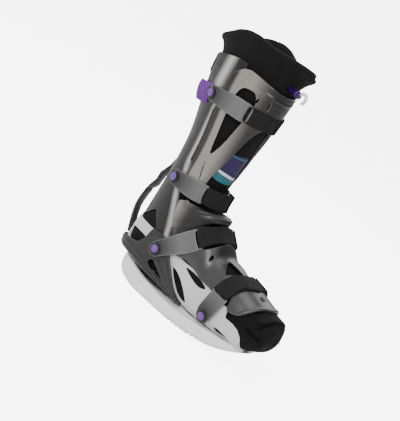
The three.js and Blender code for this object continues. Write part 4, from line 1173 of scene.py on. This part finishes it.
@dataclass
class CalfShell:
    """Rear half of the leg, with an arm each side down to the ankle hub."""

    def outline(self) -> Outline:
        """Returns one closed outline in angles from the front and heights."""
        collar = [(77, 0.891), (94, 0.892), (110, 0.881), (140, 0.864), (180, 0.858)]
        top = [(angle, leg_height(share)) for angle, share in collar]
        edge = [
            (-0.076, 1.276), (0.025, 1.276), (-0.017, 1.711), (-0.074, 2.217), (-0.088, 2.615), (-0.1, 2.831),
        ]
        notch = [(-0.23, 1.276), (-0.147, 1.625), (-0.105, 1.431)]
        lower = [self.angle_of(x, z) for x, z in (*notch, *edge)]
        low = [(97, leg_height(0.5)), (96, leg_height(0.712)), (77, leg_height(0.718))]
        right = [(180, lower[0][1]), *lower, *low, *top]
        left = [(360 - angle, height) for angle, height in reversed(right) if angle < 180]
        return [*right, *left]

    @staticmethod
    def angle_of(x_share: float, z_share: float) -> tuple[float, float]:
        """Returns the leg's angle and height of a place in the side view."""
        z = up(z_share)
        middle, half_depth, _ = FORM.leg_size(np.array([z]), np.array([REAR.outer]))
        share = np.clip((ahead(x_share) - middle[0]) / half_depth[0], -0.98, 1)
        return math.degrees(math.acos(share)), z

    def build(self) -> None:
        """Builds the shell and the ridge on its back."""
        region = Region(rounded(self.outline(), 1, 0.12))
        bm = Workshop.cut_sheet(FORM.round_leg, region, REAR, 2.0, 0.7)
        points = coordinates(bm)
        # Painted highlight: a lighter stripe along the shell's front edge, wider near the top, laid on as
        # tone.
        edge = np.interp(points[:, 2], [99, 133, 173, 204, 221, 330, 345], [8, -5, -23, -27, -31, -36, -44])
        wide = np.interp(points[:, 2], [99, 200, 330, 350], [8, 8, 8, 15])
        paint_light(bm, np.clip(1 - np.abs(points[:, 0] - edge + wide) / wide, 0, 1) ** 1.3)
        finish_piece("calf_shell_skin", bm, Finish.REAR, ["calf_shell"])
        spine = [(170, 0.785, 0.845), (174, 0.773, 0.853), (186, 0.773, 0.853), (190, 0.785, 0.845)]
        rows = [(at, leg_height(low), leg_height(high)) for at, low, high in spine]
        bm = Workshop.plate(FORM.on_leg, rows, Layer(FRONT.inner, FRONT.inner + 8.4), (12, 16), 1.4)
        finish_piece("back_spine_skin", bm, Finish.REAR, ["back_spine"])


@dataclass
class ShinShell:
    """Front half of the leg with side windows, a split below them and a raised ridge."""

    def outline(self) -> Outline:
        """Returns the shell's outline in angles from the front and heights."""
        half = [
            (-91, 0.516, 0.83), (-86, 0.478, 0.85), (-78, 0.422, 0.874), (-69, 0.422, 0.883),
            (-48, 0.422, 0.875), (-45, 0.492, 0.873), (-38, 0.544, 0.87), (-30, 0.623, 0.865),
            (-24, 0.676, 0.862), (-16, 0.712, 0.861), (0, 0.724, 0.861),
        ]
        return edges_of(both_sides(half), leg_height)

    def holes(self) -> list[Outline]:
        """Returns the windows, splits and strap slots of both sides."""
        window = [
            (-73, 0.688, 0.784), (-70, 0.562, 0.81), (-66, 0.556, 0.82), (-57, 0.606, 0.825),
            (-50, 0.679, 0.82), (-44, 0.757, 0.793),
        ]
        split = [(-69, 0.516, 0.533), (-65, 0.483, 0.498), (-60, 0.442, 0.456)]
        slots = [[(-45.2, 0.794, 0.814), (-42.8, 0.794, 0.814)], [(-27.2, 0.79, 0.819), (-24.8, 0.79, 0.819)]]
        right = [rounded(edges_of(rows, leg_height)) for rows in (window, split, *slots)]
        return [*right, *[mirrored(hole) for hole in right]]

    def build(self) -> None:
        """Builds the shell, the printed patch behind it and the calf band."""
        line, inner, top = (
            [(angle, leg_height(share)) for angle, share in rows]
            for rows in (
                [(-80, 0.44), (-77, 0.56), (-76, 0.7), (-72, 0.83)],
                [(-44, 0.5), (-38, 0.6), (-30, 0.68), (-18, 0.73)],
                [(-70, 0.845), (0, 0.832), (70, 0.845)],
            )
        )
        reliefs = [ridge(rows, 2.2, 0.8) for rows in (line, mirrored(line), inner, mirrored(inner), top)]
        region = Region(rounded(self.outline(), 2, 0.15), self.holes())
        bm = Workshop.cut_sheet(FORM.on_leg, region, FRONT, 1.6, 0.5, together(*reliefs), 1.1)
        # Painted light and shade: the shell is painted lighter from 34 to 58 degrees off the front, fading
        # out by 84.
        angle = np.abs(FORM.leg_angle(coordinates(bm), FRONT.outer))
        side = np.clip((angle - 34) / 24, 0, 1) * np.clip((84 - angle) / 4, 0, 1)
        paint_light(bm, side ** 1.2)
        finish_piece("shin_shell_skin", bm, Finish.SHIN, ["shin_shell"])
        self.build_patch()
        self.build_band()

    @staticmethod
    def build_patch() -> None:
        """Builds the printed cloth patch on the liner's shin."""
        rows = both_sides([(-48, 0.493, 0.585), (-30, 0.485, 0.598), (0, 0.482, 0.603)])
        sized = [(at, leg_height(low), leg_height(high)) for at, low, high in rows]
        bm = Workshop.plate(FORM.on_leg, sized, Layer(GAP, 1.0), (80, 40), 0.2)
        patch = finish_piece("printed_patch", bm, Finish.LABEL, ["label_patch"])

    @staticmethod
    def build_band() -> None:
        """Builds the cloth band behind the calf."""
        right = [(112, 0.696, 0.767), (125, 0.686, 0.759), (180, 0.668, 0.738)]
        left = [(360 - at, low, high) for at, low, high in reversed(right) if at < 180]
        rows = [(at, leg_height(low), leg_height(high)) for at, low, high in (*right, *left)]

        def loose(angle: Numbers, z: Numbers, depth: Numbers) -> Numbers:
            """Returns points on a leg that bulges at the back."""
            bulge = 10 * np.sin(np.radians(np.clip(180 * (angle - 112) / 136, 0, 180)))
            middle = leg_height(np.interp(np.abs(angle - 180), [0, 55, 68], [0.703, 0.7225, 0.7315]))
            crown = 3.0 * (1 - ((z - middle) / 16) ** 2)
            return FORM.on_leg(angle, z, depth + bulge + crown - 1.2)

        bm = Workshop.plate(loose, rows, Layer(FRONT.inner, FRONT.inner + 1.6), (80, 14), 0.4)
        finish_piece("calf_band_cloth", bm, Finish.BAND, ["calf_band"])


@dataclass
class Gaiter:
    """Three overlapping bands that fan out round the front of the ankle, with rivets."""

    wall: float = 1.4
    rivet_angle: float = 61.0
    rivet_radius: float = 6.0
    fan: float = 30.0

    def across(self, angle: Numbers, v: Numbers, depth: Numbers) -> Numbers:
        """Returns points on the fan, with places across it nearly in millimetres."""
        return FORM.on_ankle(angle, v / self.fan, depth)

    def bands(self) -> list[tuple[str, float, list[Station]]]:
        """Returns each band's node, depth and stations of the right half."""
        return [
            ("gaiter_plate", GAP + 2 * (self.wall + 2 * GAP), [
                (-77, 0.16, 0.44), (-72, 0.1, 0.54), (-60, 0.07, 0.56), (-42, 0.06, 0.5),
                (-18, 0.06, 0.42), (0, 0.06, 0.4),
            ]),
            ("gaiter_middle", 3 * GAP + self.wall, [
                (-75, 0.48, 0.67), (-42, 0.43, 0.7), (-18, 0.36, 0.54), (0, 0.35, 0.5),
            ]),
            ("gaiter_lower", GAP, [(-71, 0.66, 0.8), (-42, 0.64, 0.92), (0, 0.64, 0.84)]),
        ]

    def build(self) -> None:
        """Builds the bands and rivets."""
        creases = together(
            ridge([(-75, 0.3 * self.fan), (-45, 0.27 * self.fan), (0, 0.2 * self.fan)], 3.0, 0.9),
            ridge([(-45, 0.27 * self.fan), (45, 0.27 * self.fan)], 2.0, 0.5),
        )
        for name, depth, half in self.bands():
            rows = [(at, low * self.fan, high * self.fan) for at, low, high in both_sides(half)]
            layer = Layer(depth, depth + self.wall)
            relief = creases if name == "gaiter_plate" else None
            bm = Workshop.plate(self.across, rows, layer, (110, 26), 0.4, relief)
            # Painted light and shade: each band is painted lighter towards the back of the fan.
            paint_light(bm, np.clip((14 - coordinates(bm)[:, 0]) / 22, 0, 1) ** 1.4)
            finish_piece(f"{name}_skin", bm, Finish.GAITER, [name])
        depth = self.bands()[0][1]
        for side, sign in (("right", -1), ("left", 1)):
            centre, out = direction(FORM.on_ankle, sign * self.rivet_angle, 0.17, depth, 0.02)
            base = self.wall + GAP
            radius = self.rivet_radius
            ring = [
                (0, base - 1), (radius, base - 1), (radius, base + 0.9), (radius * 0.86, base + 1.6),
                (radius * 0.7, base + 1.6), (radius * 0.6, base + 0.8), (0, base + 0.8),
            ]
            bm = Workshop.turned(ring, centre, out)
            finish_piece(f"rivet_ring_{side}", bm, Finish.RIVET, [f"rivet_{side}"])
            cap = [
                (0, base), (radius * 0.52, base), (radius * 0.52, base + 1.2), (radius * 0.3, base + 1.7),
                (0, base + 1.8),
            ]
            finish_piece(f"rivet_centre_{side}", Workshop.turned(cap, centre, out), Finish.RIVET)


@dataclass
class InstepShell:
    """Dark shell over the instep, and the toe visor in front of it."""

    def build(self) -> None:
        """Builds both."""
        half = [(-95, 0.107, 0.13), (-88, 0.112, 0.165), (-81, 0.13, 0.25)]
        half += [(angle, self.below_strap(angle), 0.46) for angle in range(-75, 1, 5)]
        window = [(-44, 0.39, 0.4), (-26, 0.345, 0.43), (-13, 0.325, 0.445), (-9, 0.42, 0.445)]
        slit = [(-50, 0.277, 0.283), (-43, 0.27, 0.29), (-39, 0.274, 0.282)]
        holes = [rounded(edges_of(rows, ahead)) for rows in (window, slit)]
        region = Region(rounded(edges_of(both_sides(half), ahead), 1, 0.15), [*holes, *map(mirrored, holes)])
        rims = [ridge([*hole, hole[0]], 2.6, 0.8) for hole in (holes[0], mirrored(holes[0]))]
        bm = Workshop.cut_sheet(FORM.on_foot, region, FRONT, 1.6, 0.5, together(*rims))
        points = coordinates(bm)
        # Painted light and shade: the shell's sides are painted lighter, from 60 mm up.
        paint_light(bm, np.clip((np.abs(points[:, 1]) - 26) / 10, 0, 1) * np.clip((points[:, 2] - 60) / 16, 0, 1))
        finish_piece("instep_shell_skin", bm, Finish.INSTEP, ["instep_shell"])
        visor = [(-84, 0.53, 0.55), (-78, 0.525, 0.6), (-60, 0.5, 0.63), (-30, 0.48, 0.655), (0, 0.47, 0.672)]
        rows = both_sides(visor)
        lower = [(at, ahead(high) - 3) for at, _, high in rows]
        region = Region(rounded(edges_of(rows, ahead), 2, 0.2))
        bm = Workshop.cut_sheet(FORM.on_foot, region, FRONT, 1.6, 0.6, ridge(lower, 2.4, 0.8))
        # Painted light and shade: the visor's sides are painted lighter.
        paint_light(bm, np.clip((np.abs(coordinates(bm)[:, 1]) - 24) / 16, 0, 1))
        finish_piece("toe_visor_skin", bm, Finish.INSTEP, ["toe_visor"])
        centre, out = direction(FORM.on_foot, -6, ahead(0.585), FRONT.outer)
        stud = [(0, -1), (4.8, -1), (4.8, 1.0), (4.0, 1.6), (2.2, 1.6), (1.6, 0.9), (0, 0.9)]
        finish_piece("visor_stud", Workshop.turned(stud, centre, out), Finish.WASHER)

    @staticmethod
    def below_strap(angle: float) -> float:
        """Returns the share of the foot ahead where the ankle strap's lower edge crosses it."""
        places = np.linspace(0, ahead(0.4), 250)
        points = FORM.on_foot(np.full(250, float(angle)), places, np.full(250, FRONT.outer))
        turn = math.radians(ANKLE_BELT.lean)
        rise = points[:, 2] - ANKLE_HEIGHT
        out = points[:, 0] * math.cos(turn) + rise * math.sin(turn)
        across = points[:, 0] * math.sin(turn) - rise * math.cos(turn)
        bearing = np.degrees(np.arctan2(np.abs(points[:, 1]) / ANKLE_BELT.half, out / ANKLE_BELT.reach))
        edge = STRAP_WIDTH * np.interp(bearing, [0, 12, 29, 45, 70], [0.44, 0.5, 0.62, 0.68, 0.5])
        return float(places[np.argmax(across > edge + 0.6)]) / FOOT_LENGTH


@dataclass
class Liner:
    """Padded liner with a flared collar, its toe flap and piping."""

    voxel: float = 2.6
    collar_low: float = 0.904 * BOOT_HEIGHT
    collar_foot: float = 0.83 * BOOT_HEIGHT

    def flare(self, z: Numbers) -> Numbers:
        """Returns how far the collar stands out at heights."""
        t = np.clip((z - self.collar_low) / (BOOT_HEIGHT - self.collar_low), 0, 1)
        return COLLAR_FLARE * t * t

    def build(self) -> None:
        """Builds the liner, the flap and the piping."""
        source = bpy.data.objects.new("liner_source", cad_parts["liner"].data.copy())
        bpy.context.scene.collection.objects.link(source)
        bm = bmesh.new()
        bm.from_mesh(source.data)
        bmesh.ops.remove_doubles(bm, verts=bm.verts[:], dist=1e-5)
        bm.to_mesh(source.data)
        bm.free()
        remesh = source.modifiers.new("even", "REMESH")
        remesh.mode = "VOXEL"
        remesh.voxel_size = self.voxel * MM
        evaluated = source.evaluated_get(bpy.context.evaluated_depsgraph_get())
        even = bpy.data.meshes.new_from_object(evaluated)
        bpy.data.objects.remove(source)
        bm = bmesh.new()
        bm.from_mesh(even)
        bpy.data.meshes.remove(even)
        bmesh.ops.scale(bm, vec=(1 / MM, 1 / MM, 1 / MM), verts=bm.verts[:])
        Workshop.smooth(bm, bm.verts[:], 6)
        self.shape(bm)
        bm.verts.layers.float.new(RIM)
        liner = finish_piece("liner_padding", bm, Finish.LINER, ["liner"])
        self.build_trim()

    def shape(self, bm: bmesh.types.BMesh) -> None:
        """Draws the smoothed mesh back to the round form, and gives it soft lumps."""
        bm.normal_update()
        points = coordinates(bm)
        normals = np.array([vertex.normal for vertex in bm.verts], float)
        flare = self.flare(points[:, 2])
        depth = FORM.depth_at(points) - flare
        outer = np.abs(depth) < 2.6
        free = self.free(points)
        lumps = (
            np.sin(points[:, 0] * 0.11 + 1.3 * np.sin(points[:, 1] * 0.07))
            * np.sin(points[:, 1] * 0.13 + 0.4)
            + 0.6 * np.sin(points[:, 2] * 0.19 + points[:, 1] * 0.06)
        )
        target = free * (0.6 + 0.7 * lumps)
        move = np.where(outer, np.clip(target - depth, -2.6, 2.6), 0.0)
        place(bm, points + normals * move[:, None])
        self.raise_collar(bm)
        rim = points[:, 2] > self.collar_low
        Workshop.smooth(bm, [v for v, near in zip(bm.verts, rim) if near], 18)

    def raise_collar(self, bm: bmesh.types.BMesh) -> None:
        """Gives the collar its own height and flare at each angle round the leg."""
        points = coordinates(bm)
        middle, half_depth, half_width = FORM.leg_size(points[:, 2], 0.0)
        front, side = points[:, 0] - middle, points[:, 1]
        angle = FORM.leg_angle(points, 0.0)
        radius = np.hypot(front, side)
        depth = radius - radius / np.hypot(front / half_depth, side / half_width)
        near = points[:, 2] > self.collar_foot
        step = np.round(angle / 6).astype(int) % 60
        tops = np.array([points[near & (step == k), 2].max() for k in range(60)])
        tops = (np.roll(tops, 1) + 2 * tops + np.roll(tops, -1)) / 4
        old = np.interp(angle % 360, np.arange(61) * 6, np.append(tops, tops[0]))
        new = BOOT_HEIGHT * COLLAR.read("top", angle)
        start = BOOT_HEIGHT * COLLAR.read("start", angle)
        share = (points[:, 2] - self.collar_foot) / (old - self.collar_foot)
        z = self.collar_foot + share * (new - self.collar_foot)
        rise = np.clip((z - start) / (new - start), 0, 1)
        wall = depth - self.flare(points[:, 2])
        across = np.clip((wall + COLLAR_WALL / 2) / (COLLAR_WALL / 2), -1, 1)
        lip = 4.0 * across * np.exp(-(((rise - 0.82) / 0.16) ** 2))
        flare = COLLAR.read("flare", angle) * rise ** 1.5 + lip
        z = z - 7.0 * across ** 2 * rise ** 5
        raised = FORM.on_leg(angle, z, wall + flare)
        place(bm, np.where(near[:, None], raised, points))

    def free(self, points: Numbers) -> Numbers:
        """Returns how freely the padding may swell: 1 at the collar and toe, 0 under shells."""
        collar = np.clip((points[:, 2] - 0.9 * BOOT_HEIGHT) / 10, 0, 1)
        toe = np.clip((points[:, 0] - ahead(0.7)) / 8, 0, 1)
        return np.maximum(collar, toe)

    def build_trim(self) -> None:
        """Builds the toe flap and the piping along the toe and the collar."""
        rows = both_sides([(-62, 0.67, 0.695), (-48, 0.652, 0.716), (0, 0.648, 0.732)])
        sized = [(at, ahead(low), ahead(high)) for at, low, high in rows]
        bm = Workshop.plate(FORM.on_foot, sized, Layer(GAP, GAP + 2), (80, 16), 0.7)
        flap = finish_piece("toe_flap", bm, Finish.LINER, ["toe_wrap"])
        angles = np.linspace(-72, 72, 70)
        edge = ahead(0.736) - ahead(0.03) * (np.abs(angles) / 72) ** 2
        self.pipe("toe_piping", FORM.on_foot(angles, edge, np.full(70, 1.0)), 1.5)
        run = np.linspace(ahead(0.66), ahead(0.742), 30)
        for side, sign in (("right", -1), ("left", 1)):
            bend = sign * (84 + 22 * ((run - run[0]) / (run[-1] - run[0])) ** 1.5)
            self.pipe(f"side_piping_{side}", FORM.on_foot(bend, run, np.full(30, 1.0)), 1.4)

    @staticmethod
    def pipe(name: str, path: Numbers, radius: float) -> None:
        """Builds one run of piping."""
        finish_piece(name, Workshop.tube(path, radius), Finish.PIPING)


@dataclass
class Strap:
    """One strap: an arm each side on a button, joined over the front by a folded web."""

    name: str
    surface: Surface
    arm: list[Station]
    slot: tuple[float, float, float, float]
    web: list[Station]
    button: tuple[float, float]
    bulge: float = 0.0
    flap_end: float = 16.0
    ear: float = 12.5

    def build(self) -> None:
        """Builds the arms, buttons and web."""
        for side, sign in (("right", 1), ("left", -1)):
            self.build_arm(side, sign)
            self.build_button(side, sign)
        self.build_web()

    def per_degree(self) -> float:
        """Returns how many millimetres one degree is at the ear."""
        at = np.array([self.button[0], self.button[0] + 1])
        points = self.surface(at, np.full(2, self.button[1]), np.full(2, STRAP.outer))
        return float(np.linalg.norm(points[1] - points[0]))

    def build_arm(self, side: str, sign: int) -> None:
        """Builds one arm with its round ear and its slot."""
        centre, v = self.button
        scale = self.per_degree()
        ear = [
            (centre + self.ear / scale * math.cos(math.radians(a)), v + self.ear * math.sin(math.radians(a)))
            for a in range(105, 256, 15)
        ]
        lows = [(at, low) for at, low, _ in self.arm[1:]]
        highs = [(at, high) for at, _, high in reversed(self.arm[1:])]
        strip = [*ear, *lows, *highs]
        start, end, low, high = self.slot
        slot = [(start, low), (start, high), (end, high), (end, low)]
        relief = ridge([(sign * (end + 1.5), low), (sign * (end + 1.5), high)], 3.0, 0.9)
        region = Region(self.sided(rounded(strip, 2, 0.2), sign), [self.sided(rounded(slot, 2, 0.2), sign)])
        bm = Workshop.cut_sheet(self.surface, region, STRAP, 1.6, 0.8, relief, scale)
        middle, _ = direction(self.surface, sign * centre, v, STRAP.outer)
        away = np.linalg.norm(coordinates(bm) - np.array(middle), axis=1)
        # Painted light and shade: the arm is painted darker at its ear and lighter towards the slot.
        paint_light(bm, np.clip((away - self.ear) / 34, 0, 1))
        node = f"strap_{self.name}_arm_{side}"
        finish_piece(f"{node}_skin", bm, Finish.ARM, [node])

    @staticmethod
    def sided(outline: Outline, sign: int) -> Outline:
        """Returns an outline on the right side, or its image on the left."""
        return outline if sign > 0 else mirrored(outline)

    def build_button(self, side: str, sign: int) -> None:
        """Builds the button and the washer under it."""
        centre, out = direction(self.surface, sign * self.button[0], self.button[1], STRAP.inner)
        face = 2.8 + GAP
        washer = [(0, face - 2), (10, face - 2), (10, face + 0.6), (9.5, face + 1.1), (0, face + 1.1)]
        bm = Workshop.turned(washer, centre, out)
        finish_piece(f"washer_{self.name}_{side}", bm, Finish.WASHER)
        low = face + 0.8
        button = [
            (0, low), (6.5, low), (6.5, low + 1.2), (6.1, low + 1.75), (4.6, low + 1.8), (4.3, low + 1.3),
            (3.6, low + 1.3), (3.3, low + 1.8), (0, low + 2.0),
        ]
        node = f"button_{self.name}_{side}"
        finish_piece(f"{node}_cap", Workshop.turned(button, centre, out), Finish.BUTTON, [node])

    def build_web(self) -> None:
        """Builds the web, whose ends run down into the slots, and its folded flap."""
        start = self.slot[0] + 0.55 * (self.slot[1] - self.slot[0])
        ends = self.web[0]
        half = [(start, ends[1], ends[2]), *self.web[1:]]
        fold = abs(self.slot[1]) + 2.0

        def dipped(angle: Numbers, v: Numbers, depth: Numbers) -> Numbers:
            """Returns points of the web, which dips into the slots at its ends."""
            dip = np.clip((np.abs(angle) - fold) / (abs(start) - fold), 0, 1)
            lift = self.bulge * np.clip(1 - (angle / fold) ** 2, 0, 1)
            return self.surface(angle, v, depth + lift - 4.2 * dip * dip)

        bm = Workshop.plate(dipped, both_sides(half), WEB, (120, 10), 0.4)
        web = finish_piece(f"strap_{self.name}_web_cloth", bm, Finish.WEB, [f"strap_{self.name}_web"])
        LOG.info("%s spans %.0f degrees", web.name, 2 * abs(start))
        stations = self.resampled(half, -fold - 1, -self.flap_end)
        rows = [(at, low + 0.6, high - 0.6) for at, low, high in stations]
        layer = Layer(WEB.outer + 0.3, WEB.outer + 2.3)
        for side, sign in (("right", 1), ("left", -1)):
            sided = rows if sign > 0 else [(-at, low, high) for at, low, high in reversed(rows)]
            bm = Workshop.plate(dipped, sided, layer, (40, 10), 0.6)
            finish_piece(f"strap_{self.name}_flap_{side}", bm, Finish.WEB)

    @staticmethod
    def resampled(rows: Sequence[Station], start: float, end: float) -> list[Station]:
        """Returns stations between two places of a strip."""
        table = np.array(rows, float)
        places = np.linspace(start, end, 6)
        low = np.interp(places, table[:, 0], table[:, 1])
        high = np.interp(places, table[:, 0], table[:, 2])
        return [tuple(map(float, row)) for row in zip(places, low, high)]


def straps() -> list[Strap]:
    """Returns the four straps, from the top one down."""
    wide = STRAP_WIDTH / BOOT_HEIGHT

    def strip(rows: Sequence[Station], size: Callable[[float], float]) -> list[Station]:
        """Returns stations with their edges sized."""
        return [(at, size(low), size(high)) for at, low, high in rows]

    return [
        Strap(
            "top", FORM.on_leg,
            strip([
                (-105, 0.739 - 0.4 * wide, 0.739 + 0.4 * wide),
                (-90, 0.743 - 0.42 * wide, 0.743 + 0.42 * wide),
                (-70, 0.747 - 0.5 * wide, 0.747 + 0.5 * wide), (-42, 0.747 - 0.5 * wide, 0.747 + 0.5 * wide),
            ], leg_height),
            (-50, -46, leg_height(0.747 - 0.4 * wide), leg_height(0.747 + 0.4 * wide)),
            strip([
                (-47, 0.747 - 0.44 * wide, 0.747 + 0.44 * wide),
                (0, 0.747 - 0.44 * wide, 0.747 + 0.44 * wide),
            ], leg_height),
            (-105, leg_height(0.739)), 0.0, 14.0,
        ),
        Strap(
            "low", FORM.on_leg,
            strip([
                (-104, 0.416 - 0.36 * wide, 0.416 + 0.36 * wide),
                (-88, 0.416 - 0.4 * wide, 0.42 + 0.42 * wide),
                (-64, 0.417 - 0.46 * wide, 0.422 + 0.46 * wide),
                (-34, 0.424 - 0.5 * wide, 0.424 + 0.5 * wide),
            ], leg_height),
            (-42, -37, leg_height(0.423 - 0.4 * wide), leg_height(0.423 + 0.4 * wide)),
            strip([
                (-38, 0.424 - 0.44 * wide, 0.424 + 0.44 * wide),
                (0, 0.429 - 0.48 * wide, 0.429 + 0.48 * wide),
            ], leg_height),
            (-104, leg_height(0.416)), 8.0, 12.0,
        ),
        Strap(
            "ankle", ANKLE_BELT,
            [
                (-90, -12.5, 12.5), (-70, -0.37 * STRAP_WIDTH, 0.5 * STRAP_WIDTH),
                (-45, -0.37 * STRAP_WIDTH, 0.68 * STRAP_WIDTH), (-26, -0.4 * STRAP_WIDTH, 0.7 * STRAP_WIDTH),
            ],
            (-33, -28.5, -0.3 * STRAP_WIDTH, 0.6 * STRAP_WIDTH),
            [
                (-29, -0.34 * STRAP_WIDTH, 0.62 * STRAP_WIDTH), (-12, -0.36 * STRAP_WIDTH, 0.5 * STRAP_WIDTH),
                (0, -0.44 * STRAP_WIDTH, 0.44 * STRAP_WIDTH),
            ],
            (-90, 0.0), -2.0, 14.0,
        ),
        Strap(
            "toe", FORM.on_foot,
            strip([(-118, 0.395, 0.475), (-110, 0.39, 0.485), (-92, 0.4, 0.5), (-67, 0.41, 0.514)], ahead),
            (-75, -70, ahead(0.415), ahead(0.502)),
            strip([(-71, 0.412, 0.51), (-40, 0.425, 0.52), (0, 0.445, 0.542)], ahead),
            (-118, ahead(0.435)), -3.0, 30.0,
        ),
    ]


@dataclass
class Strut:
    """Strut behind the heel and the latch that holds it to the calf shell."""

    crease: float = 0.8
    bevel: float = 0.6

    def build(self) -> None:
        """Carries both CAD nodes over as smooth bevelled pieces."""
        for name in ("back_strut", "strut_latch"):
            bm = bmesh.new()
            bm.from_mesh(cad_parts[name].data)
            bmesh.ops.remove_doubles(bm, verts=bm.verts[:], dist=1e-5)
            bmesh.ops.scale(bm, vec=(1 / MM, 1 / MM, 1 / MM), verts=bm.verts[:])
            bmesh.ops.dissolve_limit(bm, angle_limit=math.radians(1.5), verts=bm.verts[:], edges=bm.edges[:])
            pairs = [edge for edge in bm.edges if len(edge.link_faces) == 2]
            creased = [edge for edge in pairs if edge.calc_face_angle(0) > self.crease]
            Workshop.round_rim(bm, self.bevel, creased)
            finish_piece(f"{name}_skin", bm, Finish.REAR, [name])


@dataclass
class Valve:
    """Air valve: a ribbed knob at the front of the collar, and the hook that hangs from it."""

    radius: float = 6.2
    hose: float = 2.9

    def build(self) -> None:
        """Builds the knob and the hook."""
        seat = FORM.on_leg(np.array([-12.0]), np.array([leg_height(0.882)]), np.array([0.0]))[0]
        base = Vector(seat) + Vector((2.8, 0, 0.8)) * self.radius
        r = self.radius
        profile = [
            (0, -2.6 * r), (0.8 * r, -2.6 * r), (0.8 * r, -0.1 * r), (r, 0), (r, 0.5 * r),
            (0.9 * r, 0.56 * r), (0.9 * r, 0.72 * r), (0.98 * r, 0.78 * r),
            (0.94 * r, 1.3 * r), (0.8 * r, 1.5 * r), (0, 1.54 * r),
        ]
        bm = Workshop.turned(profile, base, Vector((1, 0, 0)), 36)
        finish_piece("valve_knob_cap", bm, Finish.KNOB, ["valve_knob"])
        turns = [
            (1.3, 0, 0.3), (1.5, 0, 0.7), (2.0, 0, 1.0), (2.8, 0, 0.9), (3.3, 0, 0.2), (3.3, 0, -0.7),
            (2.9, 0, -1.5),
        ]
        knots = np.array([Vector(turn) * r + base for turn in turns])
        places = np.linspace(0, len(knots) - 1, 60)
        path = np.stack([self.smooth(knots[:, i], places) for i in range(3)], -1)
        finish_piece("valve_hook", Workshop.tube(path, self.hose), Finish.PALE, ["valve_hose"])

    @staticmethod
    def smooth(values: Numbers, places: Numbers) -> Numbers:
        """Returns a smooth curve through evenly spaced values."""
        return Table("value", list(enumerate(values))).read("value", places)


@dataclass
class Studio:
    """Camera at the photograph's angle, pale floor and soft light."""

    azimuth: float = 30.0
    elevation: float = 12.0
    roll: float = 32.5
    lens: float = 120.0
    sensor: float = 36.0
    pixels: tuple[float, float] = (400.0, 421.0)
    distance: float = 2245.0
    anchor: tuple[float, float, float] = (0.0, -50.0, 78.0)
    anchor_pixel: tuple[float, float] = (156.5, 248.8)
    depth_ahead: float = 41.6

    def build(self) -> None:
        """Builds the camera, the floor and the lights."""
        a, e, roll = (math.radians(x) for x in (self.azimuth, self.elevation, self.roll))
        back = Vector((math.sin(a) * math.cos(e), -math.cos(a) * math.cos(e), math.sin(e)))
        level = Vector((math.cos(a), math.sin(a), 0))
        upward = Vector((-math.sin(a) * math.sin(e), math.cos(a) * math.sin(e), math.cos(e)))
        right = level * math.cos(roll) + upward * math.sin(roll)
        over = upward * math.cos(roll) - level * math.sin(roll)
        focal = self.lens / self.sensor * max(self.pixels)
        anchor = Vector(self.anchor)
        away = self.distance - (anchor.dot(back) - self.depth_ahead)
        across = anchor.dot(right) - (self.anchor_pixel[0] - self.pixels[0] / 2) * away / focal
        high = anchor.dot(over) + (self.anchor_pixel[1] - self.pixels[1] / 2) * away / focal
        target = right * across + over * high + back * self.depth_ahead
        turn = Matrix((right, over, back)).transposed().to_4x4()
        data = bpy.data.cameras.new("camera")
        data.lens = self.lens
        data.sensor_width = self.sensor
        data.clip_end = 100
        camera = bpy.data.objects.new("camera", data)
        camera.matrix_world = Matrix.Translation((target + back * self.distance) * MM) @ turn
        bpy.context.scene.collection.objects.link(camera)
        bpy.context.scene.camera = camera
        self.build_floor()
        self.build_lights()

    @staticmethod
    def build_floor() -> None:
        """Builds a wide pale floor that curves up far behind the boot."""
        bm = bmesh.new()
        bmesh.ops.create_grid(bm, x_segments=80, y_segments=80, size=24)
        flat = coordinates(bm)
        far = np.maximum(np.hypot(flat[:, 0], flat[:, 1]) - 6, 0)
        flat[:, 2] = 0.04 * far ** 2
        place(bm, flat)
        mesh = bpy.data.meshes.new("floor")
        bm.to_mesh(mesh)
        bm.free()
        graph = Graph("pale_floor")
        patches = graph.noise(graph.place(), 3.0)
        graph.set(Base_Color=graph.mix(patches, grey(243), grey(247)), Roughness=0.85)
        seen = graph.node("ShaderNodeLightPath", output="Is Camera Ray")
        graph.set(Emission_Color=graph.mix(seen, (0.0, 0.0, 0.0), (1.0, 1.0, 1.0)), Emission_Strength=6.0)
        mesh.materials.append(graph.material)
        floor = bpy.data.objects.new("floor", mesh)
        bpy.context.scene.collection.objects.link(floor)

    @staticmethod
    def build_lights() -> None:
        """Builds the soft boxes and the pale surroundings."""
        boxes = [
            ("key", (0.5, -1.6, 1.5), 0.7, 30), ("left_fill", (-1.8, -0.8, 0.9), 0.6, 22),
            ("top", (0.0, 0.1, 2.4), 1.6, 28), ("front", (1.8, -0.4, 0.7), 0.5, 8),
            ("behind", (-0.8, 1.8, 1.4), 1.3, 16),
        ]
        for name, at, size, power in boxes:
            data = bpy.data.lights.new(name, "AREA")
            data.size = size
            data.energy = power
            lamp = bpy.data.objects.new(name, data)
            aim = Vector((0, 0, 0.2)) - Vector(at)
            lamp.matrix_world = Matrix.Translation(at) @ aim.to_track_quat("-Z", "Y").to_matrix().to_4x4()
            bpy.context.scene.collection.objects.link(lamp)
        world = bpy.data.worlds.new("surroundings")
        world.use_nodes = True
        background = world.node_tree.nodes["Background"]
        background.inputs["Color"].default_value = (1, 1, 1, 1)
        background.inputs["Strength"].default_value = 0.3
        bpy.context.scene.world = world


def main() -> None:
    """Builds the boot's sub-assemblies and the studio."""
    logging.basicConfig(level=logging.INFO, format="%(name)s %(message)s")
    Studio().build()
    shells = (Sole(), FootShell(), HeelFrame(), CalfShell(), ShinShell(), Gaiter(), InstepShell())
    for part in (*shells, Liner()):
        LOG.info("building %s", type(part).__name__)
        part.build()
    for strap in straps():
        strap.build()
    Strut().build()
    Valve().build()


if __name__ == "__main__":
    main()
